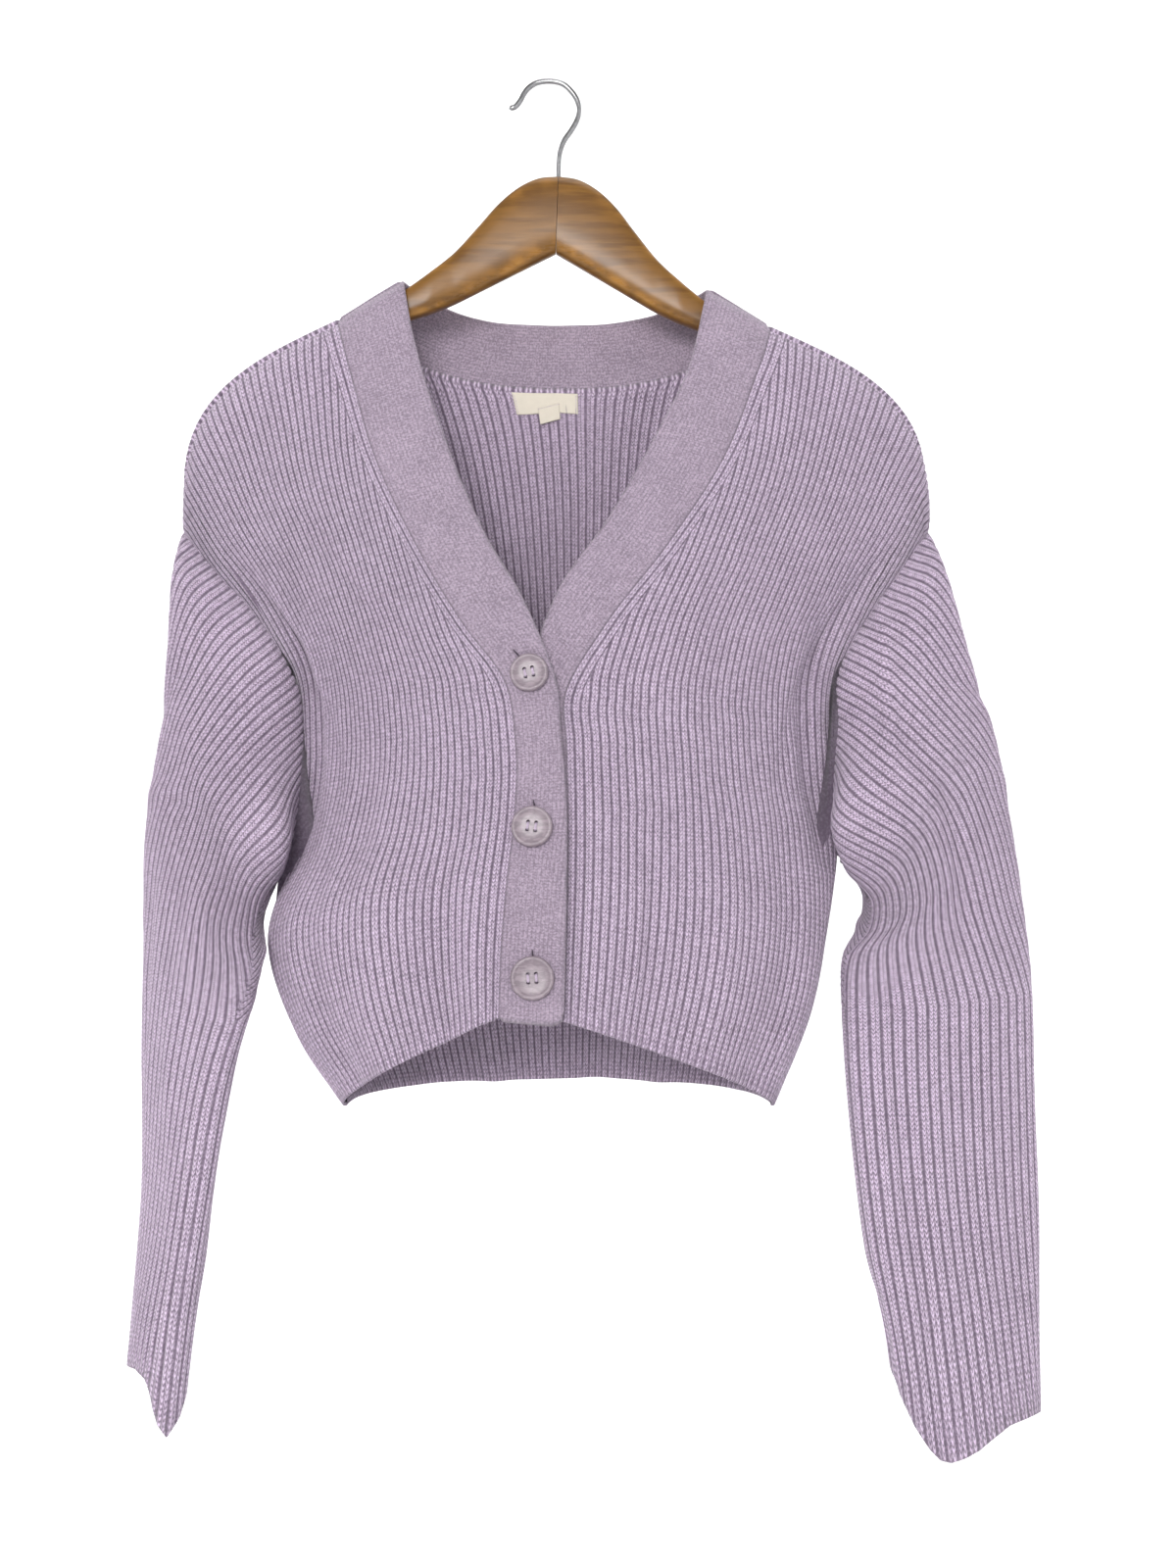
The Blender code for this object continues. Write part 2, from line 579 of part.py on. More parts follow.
def new_material(name, colour, roughness, metallic=0.0):
    material = bpy.data.materials.new(name)
    material.use_nodes = True
    shader = material.node_tree.nodes["Principled BSDF"]
    shader.inputs["Base Color"].default_value = colour
    shader.inputs["Roughness"].default_value = roughness
    shader.inputs["Metallic"].default_value = metallic
    material.diffuse_color = colour
    return material


def add_mesh(name, points, faces, material, collection):
    """A smooth-shaded mesh object from points in millimetres."""
    mesh = bpy.data.meshes.new(name)
    mesh.from_pydata([tuple(p) for p in np.asarray(points) * MM], [], faces)
    mesh.materials.append(material)
    mesh.shade_smooth()
    mesh.set_sharp_from_angle(angle=math.radians(50))
    thing = bpy.data.objects.new(name, mesh)
    collection.objects.link(thing)
    return thing


def add_wall(name, piece, material, collection):
    """A closed wall of even thickness on a piece's grid: outer skin, inner skin and rims."""
    grid = piece["grid"]
    normal = piece["mitred"]
    if piece["closed"]:
        grid = grid[:, :-1]
        normal = normal[:, :-1]
    rows, columns = grid.shape[:2]
    half = piece["wall"] / 2
    skins = [(grid + normal * half).reshape(-1, 3), (grid - normal * half).reshape(-1, 3)]
    count = rows * columns
    around = columns if piece["closed"] else columns - 1
    faces = []
    for i in range(rows - 1):
        for j in range(around):
            k = (j + 1) % columns
            a, b, c, d = (i, j), (i, k), (i + 1, k), (i + 1, j)
            shorter = np.linalg.norm(grid[a] - grid[c]) <= np.linalg.norm(grid[b] - grid[d])
            for half_cell in ((a, b, c), (a, c, d)) if shorter else ((a, b, d), (b, c, d)):
                face = tuple(row * columns + column for row, column in half_cell)
                faces.append(face)
                faces.append(tuple(count + corner for corner in face[::-1]))
    rims = [[(0, j) for j in range(columns)], [(rows - 1, j) for j in range(columns)][::-1]]
    if piece["closed"]:
        rims = [rim + rim[:1] for rim in rims]
    else:
        rims.append([(i, 0) for i in range(rows)][::-1])
        rims.append([(i, columns - 1) for i in range(rows)])
    for rim in rims:
        flat = [i * columns + j for i, j in rim]
        faces += [(b, a, count + a, count + b) for a, b in zip(flat, flat[1:])]
    if piece["flip"]:
        faces = [face[::-1] for face in faces]
    return add_mesh(name, np.concatenate(skins), faces, material, collection)


def piece_of(grid, wall=WALL, outward=1, closed=False):
    """A wall's grid with the normals that point out of the garment."""
    normal = normals_of(grid, closed) * outward
    return {
        "grid": grid, "normal": normal, "mitred": normal.copy(), "wall": wall,
        "sewn": np.zeros(grid.shape[:2]), "closed": closed, "flip": outward < 0,
    }


def cloth_pieces():
    """Every sewn piece of the garment, by node name."""
    levels = np.concatenate([np.linspace(0, UNDERARM, BELOW_UNDERARM + 1), ABOVE_UNDERARM])
    shares = np.linspace(0, 1, COURSE_CELLS + 1)
    shoulder = NECK_SHARE + (1 - NECK_SHARE) * shares
    neck = NECK_SHARE * np.sin(np.linspace(-math.pi / 2, math.pi / 2, NECK_CELLS + 1))[1:-1]
    wide = np.concatenate([-shoulder[::-1], neck, shoulder])
    along = np.concatenate([np.linspace(0, 0.3, 8), np.linspace(0.36, 1, RING_CELLS - 7)])

    left = front_grid(FRONT_LEFT_COURSES, LEFT_FOLDS, levels, shares, -1)
    right = front_grid(FRONT_RIGHT_COURSES, RIGHT_FOLDS, levels, shares, 1)
    back = back_grid(levels, wide)
    pieces = {
        "front_left": piece_of(left, outward=-1),
        "front_right": piece_of(right),
        "back_panel": piece_of(back, outward=-1),
        "sleeve_left": piece_of(
            sleeve_grid(SLEEVE_LEFT_RINGS, FRONT_LEFT_COURSES, SLEEVE_LEFT_FOLDS,
                        SLEEVE_LEFT_LOBES, CUFF_LEFT, -1, levels, along), outward=-1, closed=True),
        "sleeve_right": piece_of(
            sleeve_grid(SLEEVE_RIGHT_RINGS, FRONT_RIGHT_COURSES, SLEEVE_RIGHT_FOLDS,
                        SLEEVE_RIGHT_LOBES, CUFF_RIGHT, 1, levels, along), closed=True),
    }
    left_edge = band_edge(BAND_LEFT_EDGE, levels)
    right_edge = band_edge(BAND_RIGHT_EDGE, levels)
    seam = back[-1][np.abs(wide) <= NECK_SHARE + 1e-9]
    pieces["band_left"] = piece_of(strip_grid(left[:, 0], left_edge, 4), BAND_WALL)
    pieces["band_right"] = piece_of(strip_grid(right[:, 0], right_edge, 4), BAND_WALL, -1)
    free = back_band_edge(seam, left_edge[-1], right_edge[-1])
    behind = strip_grid(seam, free, 4).transpose(1, 0, 2)
    pieces["band_back"] = piece_of(behind, BAND_WALL, -1)
    share_normals(pieces)
    for piece in pieces.values():
        pull_back(piece)
    return pieces


def trim_piece(place, lift):
    """A small strip on the inside of the back, made from its points and moved inward."""
    levels = np.linspace(place["low"], place["high"], 4)
    half_neck = shoulder_line(FRONT_RIGHT_COURSES, np.zeros(1))[0, 0]
    across = np.linspace(place["left"], place["right"], 8) / half_neck * NECK_SHARE
    grid = back_grid(levels, across)
    grid[..., 1] -= lift
    grid[..., 2] += place["slant"] * np.linspace(-1, 1, 8)[None, :]
    return piece_of(grid, TRIM_THICK, -1)


def resting_plane(band, x, z, radius):
    """Where a flat disc rests on the front of a band, and the way that it faces."""
    rows = np.linspace(0, len(band) - 1, 10 * len(band))
    fine = np.stack([[np.interp(rows, np.arange(len(band)), band[:, j, axis])
                      for axis in range(3)] for j in range(band.shape[1])]).transpose(2, 0, 1)
    across = np.linspace(0, 1, 15)[None, :, None]
    points = (fine[:, :1] + (fine[:, -1:] - fine[:, :1]) * across).reshape(-1, 3)
    near = points[np.hypot(points[:, 0] - x, points[:, 2] - z) < radius + 1]
    away = np.stack([near[:, 0] - x, near[:, 2] - z, np.ones(len(near))], -1)
    slope = np.linalg.lstsq(away, near[:, 1], rcond=None)[0]
    forward = (near[:, 1] - away @ slope).min()
    normal = np.array([slope[0], -1.0, slope[1]])
    return np.array([x, slope[2] + forward, z]), normal / np.linalg.norm(normal)


def add_button(name, band, material, collection, cutters):
    """A turned button with a raised rim and four holes, flat on the upper band."""
    x, z, radius, turn = BUTTONS[name]
    back = BUTTON_THICK * 0.5
    rest, normal = resting_plane(band, x, z, radius)
    middle = rest + normal * (BAND_WALL / 2 + 0.3 + back)
    profile = [
        (0.0, back - BUTTON_RIM), (radius - 3.2, back - BUTTON_RIM), (radius - 2.2, back - 0.2),
        (radius - 1.4, back), (radius - 0.5, back - 0.4), (radius, 0.2),
        (radius - 0.3, -back + 0.7), (radius - 1.2, -back), (0.0, -back),
    ]
    mesh = bpy.data.meshes.new(name)
    points = [(r * MM, 0.0, h * MM) for r, h in profile]
    mesh.from_pydata(points, [(k, k + 1) for k in range(len(points) - 1)], [])
    mesh.materials.append(material)
    button = bpy.data.objects.new(name, mesh)
    collection.objects.link(button)
    turned = button.modifiers.new("turned", "SCREW")
    turned.steps = BUTTON_STEPS
    turned.render_steps = BUTTON_STEPS
    turned.use_merge_vertices = True
    turned.merge_threshold = 0.00001
    turned.use_smooth_shade = True
    drills = bmesh.new()
    for quarter in range(4):
        angle = math.radians(45 + 90 * quarter)
        reach_out = BUTTON_PITCH * math.sqrt(2) * MM
        spot = Matrix.Translation((reach_out * math.cos(angle), reach_out * math.sin(angle), 0))
        bmesh.ops.create_cone(drills, cap_ends=True, segments=10, radius1=BUTTON_HOLE * MM,
                              radius2=BUTTON_HOLE * MM, depth=3 * BUTTON_THICK * MM, matrix=spot)
    drill_mesh = bpy.data.meshes.new(name + "_holes")
    drills.to_mesh(drill_mesh)
    drills.free()
    drill = bpy.data.objects.new(name + "_holes", drill_mesh)
    cutters.objects.link(drill)
    drill.hide_render = True
    drill.display_type = "WIRE"
    place = (Matrix.Translation(middle * MM)
             @ Vector(normal).to_track_quat("Z", "Y").to_matrix().to_4x4()
             @ Matrix.Rotation(math.radians(turn), 4, "Z"))
    button.matrix_world = place
    drill.matrix_world = place
    holes = button.modifiers.new("holes", "BOOLEAN")
    holes.operation = "DIFFERENCE"
    holes.object = drill


def arm_points(side):
    """One arm's sections, from the join to the tip, as rings of points."""
    table = rows_of(ARM_COLUMNS, ARM_SECTIONS)
    angle = np.linspace(0, 2 * math.pi, 17)[:-1]
    round_y = np.sign(np.cos(angle)) * np.abs(np.cos(angle)) ** ARM_ROUND
    round_z = np.sign(np.sin(angle)) * np.abs(np.sin(angle)) ** ARM_ROUND
    rings = []
    for k, reach in enumerate(table["reach"]):
        height = (table["top"][k] - table["bottom"][k]) / 2
        level = (table["top"][k] + table["bottom"][k]) / 2
        along = side * max(reach, HANGER_JOIN / 2)
        rings.append(np.stack([
            np.full(len(angle), along),
            round_y * table["thick"][k] / 2 - table["forward"][k],
            level + round_z * height,
        ], -1))
    rings = np.array(rings)
    tilt = math.radians(HANGER_TILT)
    turned = rings.copy()
    turned[..., 0] = rings[..., 0] * math.cos(tilt) - rings[..., 2] * math.sin(tilt) + HANGER_X
    turned[..., 2] = rings[..., 0] * math.sin(tilt) + rings[..., 2] * math.cos(tilt) + HANGER_TOP
    return turned


def add_arm(name, side, material, collection, bore):
    """A wooden arm: a loft through its sections, bored for the hook's shank."""
    rings = arm_points(side)
    count = rings.shape[1]
    faces = [tuple(range(count)), tuple(range((len(rings) - 1) * count, len(rings) * count))[::-1]]
    for i in range(len(rings) - 1):
        for j in range(count):
            k = (j + 1) % count
            faces.append((i * count + j, (i + 1) * count + j, (i + 1) * count + k, i * count + k))
    if side > 0:
        faces = [face[::-1] for face in faces]
    arm = add_mesh(name, rings.reshape(-1, 3), faces, material, collection)
    cut = arm.modifiers.new("bore", "BOOLEAN")
    cut.operation = "DIFFERENCE"
    cut.object = bore


def add_bore(cutters):
    """The hole that the hook's shank goes down."""
    top, bottom = HANGER_TOP + 8, HOOK_ROUTE[-1][1] - 2
    bpy.ops.mesh.primitive_cylinder_add(
        vertices=12, radius=(WIRE + 0.3) * MM, depth=(top - bottom) * MM,
        location=(HOOK_ROUTE[-1][0] * MM, 0, (top + bottom) / 2 * MM))
    bore = bpy.context.object
    bore.name = "shank_bore"
    for owner in list(bore.users_collection):
        owner.objects.unlink(bore)
    cutters.objects.link(bore)
    bore.hide_render = True
    bore.display_type = "WIRE"
    return bore


def add_hook(material, collection):
    """The hook: one bent wire, read from a smooth curve through its route."""
    route = np.array([(x, 0.0, z) for x, z in HOOK_ROUTE])
    run = np.concatenate([[0], np.cumsum(np.linalg.norm(np.diff(route, axis=0), axis=1))])
    points = smooth(run, route, np.linspace(0, run[-1], 46))
    curve = bpy.data.curves.new("hanger_hook", "CURVE")
    curve.dimensions = "3D"
    curve.bevel_depth = WIRE * MM
    curve.bevel_resolution = 2
    curve.use_fill_caps = True
    spline = curve.splines.new("POLY")
    spline.points.add(len(points) - 1)
    for point, place in zip(spline.points, points):
        point.co = (*(place * MM), 1.0)
    curve.materials.append(material)
    collection.objects.link(bpy.data.objects.new("hanger_hook", curve))


def build():
    for thing in list(bpy.data.objects):
        bpy.data.objects.remove(thing, do_unlink=True)
    collection = bpy.data.collections.new("cropped_cardigan")
    bpy.context.scene.collection.children.link(collection)
    cutters = bpy.data.collections.new("cutters")
    bpy.context.scene.collection.children.link(cutters)
    knit = new_material("lavender_rib_knit", LAVENDER, 0.95)
    smooth_knit = new_material("lavender_band_knit", BAND_GREY, 0.95)
    woven = new_material("cream_woven_label", CREAM, 0.8)
    mauve = new_material("mauve_button", MAUVE, 0.25)
    wood = new_material("lacquered_wood", WOOD, 0.3)
    chrome = new_material("chromed_wire", CHROME, 0.2, 1.0)
    pieces = cloth_pieces()
    for name, piece in pieces.items():
        material = smooth_knit if name.startswith("band") else knit
        add_wall(name, piece, material, collection)
    label_lift = WALL / 2 + TRIM_GAP + TRIM_THICK / 2
    add_wall("neck_label", trim_piece(LABEL, label_lift), woven, collection)
    tab_lift = label_lift + TRIM_THICK + TRIM_GAP
    add_wall("size_tab", trim_piece(SIZE_TAB, tab_lift), woven, collection)
    for name in BUTTONS:
        add_button(name, pieces["band_left"]["grid"], mauve, collection, cutters)
    bore = add_bore(cutters)
    add_arm("hanger_arm_left", -1, wood, collection, bore)
    add_arm("hanger_arm_right", 1, wood, collection, bore)
    add_hook(chrome, collection)


build()
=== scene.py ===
"""Looks of a cropped rib-knit cardigan that hangs on a wooden clothes hanger.

Each panel is a thin corrugated shell whose ribs end at its seams, as knitted panels do. The
panels' courses, folds and rings are worked out from their tables in millimetres and turned
into metres where a mesh is made. The front faces -Y and +Z is up.
"""

import math

import bmesh
import bpy
import numpy as np
from mathutils import Matrix, Vector


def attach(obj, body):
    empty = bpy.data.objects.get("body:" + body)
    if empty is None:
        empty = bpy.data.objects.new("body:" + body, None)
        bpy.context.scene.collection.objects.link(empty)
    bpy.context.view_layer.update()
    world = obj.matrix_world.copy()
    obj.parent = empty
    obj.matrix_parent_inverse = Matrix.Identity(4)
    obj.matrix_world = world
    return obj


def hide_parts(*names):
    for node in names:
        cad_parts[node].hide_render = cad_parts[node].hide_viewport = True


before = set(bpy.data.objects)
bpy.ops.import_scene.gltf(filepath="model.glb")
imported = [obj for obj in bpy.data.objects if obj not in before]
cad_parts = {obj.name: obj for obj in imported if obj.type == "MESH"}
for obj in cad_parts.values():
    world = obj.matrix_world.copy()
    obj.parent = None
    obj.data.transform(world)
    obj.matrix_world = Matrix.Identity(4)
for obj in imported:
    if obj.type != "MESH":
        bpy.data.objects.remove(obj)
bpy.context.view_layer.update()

bl_info = {
    "name": "Cropped Cardigan on a Hanger",
    "version": (1, 0, 0),
    "blender": (4, 5, 0),
    "location": "3D View > Sidebar > Cardigan",
    "description": "Makes a rib-knit cardigan with its bands, buttons, labels and hanger",
    "category": "Add Mesh",
}

MM = 0.001

# Cloth
WALL = 3.0  # thickness of the rib knit
UNDERARM = 0.293  # the course where side seam and armhole meet

# A course of a front panel: level from hem (0) to shoulder (1), its end at the centre edge,
# its end at the side seam or armhole, the depth of the back panel's end there, how square
# its corner is, how much of its fall hangs at the side, how the ribs crowd to the side, and
# how straight it runs back into the seam there.
FRONT_COLUMNS = (
    "level", "centre_x", "centre_y", "centre_z", "side_x", "side_y", "side_z",
    "back_y", "square", "hang", "crowd", "flat",
)
FRONT_LEFT_COURSES = (
    (0.000, -28, -92, -557, -125, -14, -622, -14, 2.3, 0.35, 0.00, 0.0),
    (0.092, -27, -86, -522, -153, -6, -583, -6, 2.4, 0.40, 0.00, 0.0),
    (0.194, -24, -78, -483, -173, 4, -527, 4, 2.3, 0.45, 0.02, 0.1),
    (0.293, -20, -70, -445, -161, 8, -475, 8, 2.1, 0.40, 0.10, 0.6),
    (0.400, -20, -64, -403, -154, 0, -425, 20, 2.0, 0.35, 0.20, 1.0),
    (0.485, -27, -58, -368, -153, -4, -393, 24, 2.1, 0.35, 0.24, 1.0),
    (0.562, -50, -52, -337, -155, -9, -368, 26, 2.2, 0.35, 0.22, 1.0),
    (0.683, -80, -43, -287, -176, -14, -331, 24, 2.4, 0.35, 0.14, 1.0),
    (0.815, -106, -32, -231, -205, -13, -299, 18, 2.6, 0.45, 0.08, 0.9),
    (0.915, -119, -22, -188, -219, -10, -282, 12, 3.0, 0.55, 0.04, 0.7),
    (0.979, -128, -14, -156, -224, -7, -277, 7, 3.4, 0.62, 0.00, 0.5),
    (0.993, -130, -8, -149, -225, -4, -275, 4, 3.5, 0.64, 0.00, 0.5),
    (1.000, -131, -1, -147, -226, -1, -275, -1, 3.6, 0.65, 0.00, 0.5),
)
FRONT_RIGHT_COURSES = (
    (0.000, 7, -86, -560, 132, -14, -622, -14, 2.3, 0.35, 0.00, 0.0),
    (0.092, 8, -80, -524, 154, -6, -571, -6, 2.4, 0.40, 0.00, 0.0),
    (0.194, 9, -72, -483, 166, 4, -521, 4, 2.3, 0.45, 0.02, 0.1),
    (0.293, 9, -64, -445, 174, 8, -471, 8, 2.1, 0.40, 0.08, 0.6),
    (0.400, 8, -58, -403, 171, 2, -425, 20, 2.0, 0.35, 0.16, 1.0),
    (0.467, 7, -54, -378, 169, -2, -393, 24, 2.1, 0.35, 0.20, 1.0),
    (0.562, 30, -50, -337, 171, -9, -363, 26, 2.2, 0.35, 0.20, 1.0),
    (0.683, 68, -42, -287, 189, -14, -329, 24, 2.4, 0.35, 0.14, 1.0),
    (0.815, 103, -31, -231, 211, -13, -298, 18, 2.6, 0.45, 0.08, 0.9),
    (0.915, 120, -21, -187, 223, -10, -281, 12, 3.0, 0.55, 0.04, 0.7),
    (0.979, 129, -14, -161, 227, -7, -277, 7, 3.4, 0.62, 0.00, 0.5),
    (0.993, 131, -8, -153, 228, -4, -275, 4, 3.5, 0.64, 0.00, 0.5),
    (1.000, 131, -1, -151, 228, -1, -275, -1, 3.6, 0.65, 0.00, 0.5),
)
# The back's courses run from its middle to both side edges, which the fronts' tables give.
BACK_COLUMNS = ("level", "x", "y", "z", "square", "hang", "flat")
BACK_COURSES = (
    (0.000, 9, 62, -620, 2.4, 0.80, 0.0),
    (0.092, 9, 59, -577, 2.4, 0.70, 0.0),
    (0.194, 8, 56, -528, 2.4, 0.60, 0.1),
    (0.293, 8, 53, -478, 2.3, 0.50, 0.4),
    (0.400, 7, 49, -425, 2.2, 0.40, 0.7),
    (0.562, 7, 44, -352, 2.3, 0.35, 0.7),
    (0.683, 6, 40, -300, 2.5, 0.35, 0.7),
    (0.815, 5, 37, -246, 2.8, 0.40, 0.6),
    (0.915, 3, 34, -207, 3.2, 0.50, 0.5),
    (1.000, 1, 32, -180, 3.5, 0.60, 0.5),
)
NECK_SHARE = 0.44  # share of the back's half width that is neck, along its top edge
NECK_DEPTH = 33.0  # from the shoulder point back to the middle of the back neck
NECK_DROP = 32.0  # from the shoulder point down to it

# Soft folds: where on the course (0 centre, 1 side) the fold lies at its low and high end,
# the levels that it spans, its half width as a share of the course, and its height.
FOLD_COLUMNS = ("low", "high", "start", "end", "width", "height")
LEFT_FOLDS = (
    (0.90, 0.86, 0.24, 0.80, 0.050, -7.0),
    (0.10, 0.03, -0.20, 0.30, 0.060, 5.0),
    (0.24, 0.16, -0.20, 0.34, 0.060, -6.0),
    (0.45, 0.40, -0.20, 0.42, 0.080, 4.5),
    (0.68, 0.62, -0.20, 0.30, 0.070, -4.0),
    (0.30, 0.50, 0.52, 0.82, 0.070, -2.5),
)
RIGHT_FOLDS = (
    (0.88, 0.84, 0.26, 0.82, 0.050, -8.0),
    (0.12, 0.08, -0.20, 0.34, 0.060, 4.5),
    (0.30, 0.22, -0.20, 0.30, 0.055, -6.0),
    (0.50, 0.46, -0.20, 0.36, 0.080, 4.5),
    (0.72, 0.70, -0.20, 0.32, 0.060, -4.0),
    (0.45, 0.30, 0.48, 0.80, 0.080, -2.5),
)
BACK_FOLDS = (
    (-0.82, -0.80, 0.20, 0.80, 0.055, -6.0),
    (0.84, 0.80, 0.22, 0.82, 0.055, -6.5),
    (-0.55, -0.48, -0.20, 0.40, 0.070, 5.0),
    (-0.30, -0.26, -0.20, 0.32, 0.060, -5.0),
    (0.12, 0.10, -0.20, 0.36, 0.070, 4.5),
    (0.38, 0.34, -0.20, 0.30, 0.060, -5.5),
    (0.64, 0.56, -0.20, 0.42, 0.070, 4.5),
)

# A ring of a sleeve: share of its length from the armhole (0) to the cuff (1), its middle,
# half its flat width, half its thickness, the slope of its flat width in the front view, how
# far its inner edge is turned forward, and how square it is. Angles are in degrees.
RING_COLUMNS = ("share", "x", "y", "z", "half", "thick", "tilt", "turn", "square")
SLEEVE_LEFT_RINGS = (
    (0.00, -192, 4, -373, 104, 10, 71, 0, 2.2),
    (0.08, -198, 0, -389, 97, 18, 71, 2, 3.0),
    (0.18, -202, -7, -419, 78, 22, 67, 5, 3.0),
    (0.28, -206, -14, -452, 62, 22, 60, 14, 3.0),
    (0.38, -208, -20, -479, 56, 21, 49, 30, 3.0),
    (0.48, -211, -20, -510, 60, 20, 30, 43, 2.1),
    (0.58, -216, -11, -546, 60, 20, 12, 51, 2.1),
    (0.70, -225, -4, -604, 58, 18, 3, 58, 2.1),
    (0.82, -231, 0, -675, 54, 17, 2, 64, 2.1),
    (0.92, -236, 0, -737, 50, 18, 9, 69, 2.1),
    (1.00, -240, 0, -786, 47, 19, 22, 72, 2.1),
)
SLEEVE_RIGHT_RINGS = (
    (0.00, 198, 4, -370, 101, 10, 74, 0, 2.2),
    (0.08, 207, 0, -387, 94, 19, 73, 2, 3.0),
    (0.18, 218, -7, -419, 76, 23, 65, 5, 3.0),
    (0.28, 226, -14, -446, 66, 24, 56, 12, 3.0),
    (0.38, 229, -18, -478, 58, 23, 39, 18, 3.0),
    (0.48, 229, -15, -512, 61, 22, 18, 18, 2.2),
    (0.58, 233, -8, -550, 62, 21, 5, 16, 2.2),
    (0.70, 237, -2, -612, 61, 20, 0, 14, 2.2),
    (0.82, 242, 0, -682, 58, 20, 1, 14, 2.2),
    (0.92, 247, 0, -752, 53, 25, 1, 17, 2.1),
    (1.00, 252, 0, -826, 48, 30, 2, 20, 2.1),
)
RING_SETTLES = 0.22  # share of the sleeve over which the armhole's shape dies away
SLEEVE_LEFT_FOLDS = (
    (0.16, 0.12, 0.35, 1.20, 0.035, -3.0),
    (0.36, 0.33, 0.10, 0.75, 0.040, 3.0),
    (0.72, 0.66, 0.20, 1.20, 0.040, -3.5),
)
SLEEVE_RIGHT_FOLDS = (
    (0.28, 0.22, 0.02, 0.52, 0.030, -5.0),
    (0.42, 0.36, 0.25, 1.20, 0.030, -3.0),
    (0.70, 0.66, 0.10, 0.80, 0.050, -4.0),
)

# Lobes of a sleeve, where the cloth billows: the share round the ring and along the sleeve,
# the reach each way, and how far it is pushed inward, forward and up.
LOBE_COLUMNS = ("round", "share", "round_reach", "share_reach", "inward", "forward", "up")
SLEEVE_LEFT_LOBES = (
    (0.41, 0.13, 0.06, 0.07, 16, 14, 0),
    (0.25, 0.20, 0.12, 0.12, 0, 8, 0),
)
SLEEVE_RIGHT_LOBES = (
    (0.40, 0.12, 0.07, 0.07, 22, 14, 0),
    (0.25, 0.22, 0.12, 0.12, 0, 8, 0),
)

# The line a cuff's crumpled edge hangs along, drawn as it shows to an eye well in front.
CUFF_COLUMNS = ("x", "z")
CUFF_LEFT = (
    (-264, -773),
    (-262, -783),
    (-256, -786),
    (-250, -792),
    (-247, -800),
    (-245, -811),
    (-242, -821),
    (-237, -828),
    (-230, -816),
    (-226, -802),
    (-224, -782),
    (-219, -752),
)
CUFF_RIGHT = (
    (202, -770),
    (212, -800),
    (222, -821),
    (231, -836),
    (237, -842),
    (244, -844),
    (252, -841),
    (261, -836),
    (279, -821),
    (290, -816),
    (299, -811),
    (302, -794),
)
CUFF_FROM = 0.85  # share of a sleeve below which it is drawn to that line
EYE = (21.0, -950.0, -428.4)  # where that eye is

# The band's free edge: level of the front course beside it, and where the edge is there.
EDGE_COLUMNS = ("level", "x", "y", "z")
BAND_LEFT_EDGE = (
    (0.000, 7, -92, -560),
    (0.150, 8, -84, -503),
    (0.300, 8, -71, -440),
    (0.400, 5, -65, -400),
    (0.485, 1, -60, -366),
    (0.562, -15, -54, -326),
    (0.683, -41, -46, -280),
    (0.815, -65, -33, -222),
    (0.915, -81, -21, -174),
    (0.979, -89, -13, -138),
    (0.993, -91, -8, -127),
    (1.000, -92, -1, -122),
)
BAND_RIGHT_EDGE = (
    (0.000, -25, -86, -556),
    (0.150, -22, -76, -500),
    (0.300, -18, -64, -440),
    (0.400, -17, -58, -398),
    (0.467, -13, -54, -366),
    (0.562, 3, -50, -319),
    (0.683, 33, -43, -274),
    (0.815, 64, -32, -218),
    (0.915, 83, -21, -176),
    (0.979, 91, -13, -142),
    (0.993, 93, -8, -132),
    (1.000, 94, -1, -127),
)
BACK_NECK_RISE = 45.0  # height of the back band at its middle
BACK_NECK_LEAN = 10.0  # how far its free edge leans back

# Trim
TRIM_THICK = 0.6
TRIM_GAP = 0.35  # from a trim piece to what it lies on
LABEL = {"left": -28.0, "right": 14.5, "low": 0.958, "high": 0.997, "slant": 0.0}
SIZE_TAB = {"left": -12.5, "right": 1.5, "low": 0.940, "high": 0.972, "slant": 1.2}
BUTTONS = {  # radius, and turn in degrees; the middles are read from the CAD nodes
    "button_top": (11.2, 12.0),
    "button_middle": (11.8, -6.0),
    "button_bottom": (12.3, 4.0),
}
BUTTON_THICK = 3.6
BUTTON_RIM = 0.9  # how far the rim stands over the dish
BUTTON_HOLE = 1.1  # radius of one of the four holes
BUTTON_PITCH = 2.3  # from the middle to a hole, along X and along Z
BUTTON_THREAD = 0.27  # radius of a strand of its thread
STRANDS = (-0.42, 0.0, 0.42)  # places of the strands that lie side by side over two holes

# Hanger
HANGER_X = 3.0
HANGER_TOP = -57.0
HANGER_TILT = -2.0  # degrees; the right arm hangs lower
HANGER_JOIN = 0.3  # glue line between the two arms
ARM_COLUMNS = ("reach", "top", "bottom", "thick", "forward")
ARM_SECTIONS = (
    (0, 0.0, -47.0, 15.0, 0.0),
    (12, -1.5, -53.5, 15.0, 0.0),
    (24, -7.5, -60.0, 15.0, 0.0),
    (36, -18.0, -66.5, 14.8, 0.0),
    (48, -32.5, -73.0, 14.6, 0.0),
    (62, -49.0, -80.5, 14.4, 0.3),
    (76, -61.5, -87.0, 14.0, 1.5),
    (91, -73.2, -92.5, 12.0, 2.0),
    (112, -88.3, -104.5, 11.0, 3.5),
    (134, -103.0, -118.0, 9.5, 3.8),
    (170, -122.5, -136.0, 9.0, 3.5),
    (196, -144.0, -156.0, 8.0, 3.5),
    (204, -154.0, -162.0, 6.0, 3.5),
)
ARM_ROUND = 0.72  # 1 makes an arm's section an ellipse, 0 a rectangle
ARM_RINGS = 110  # rings of mesh along an arm
ARM_TIP_RINGS = 5  # the last of them, which close its round tip
ARM_GRAIN = {"left": -38.0, "right": 34.0}  # slope of the wood's grain in degrees
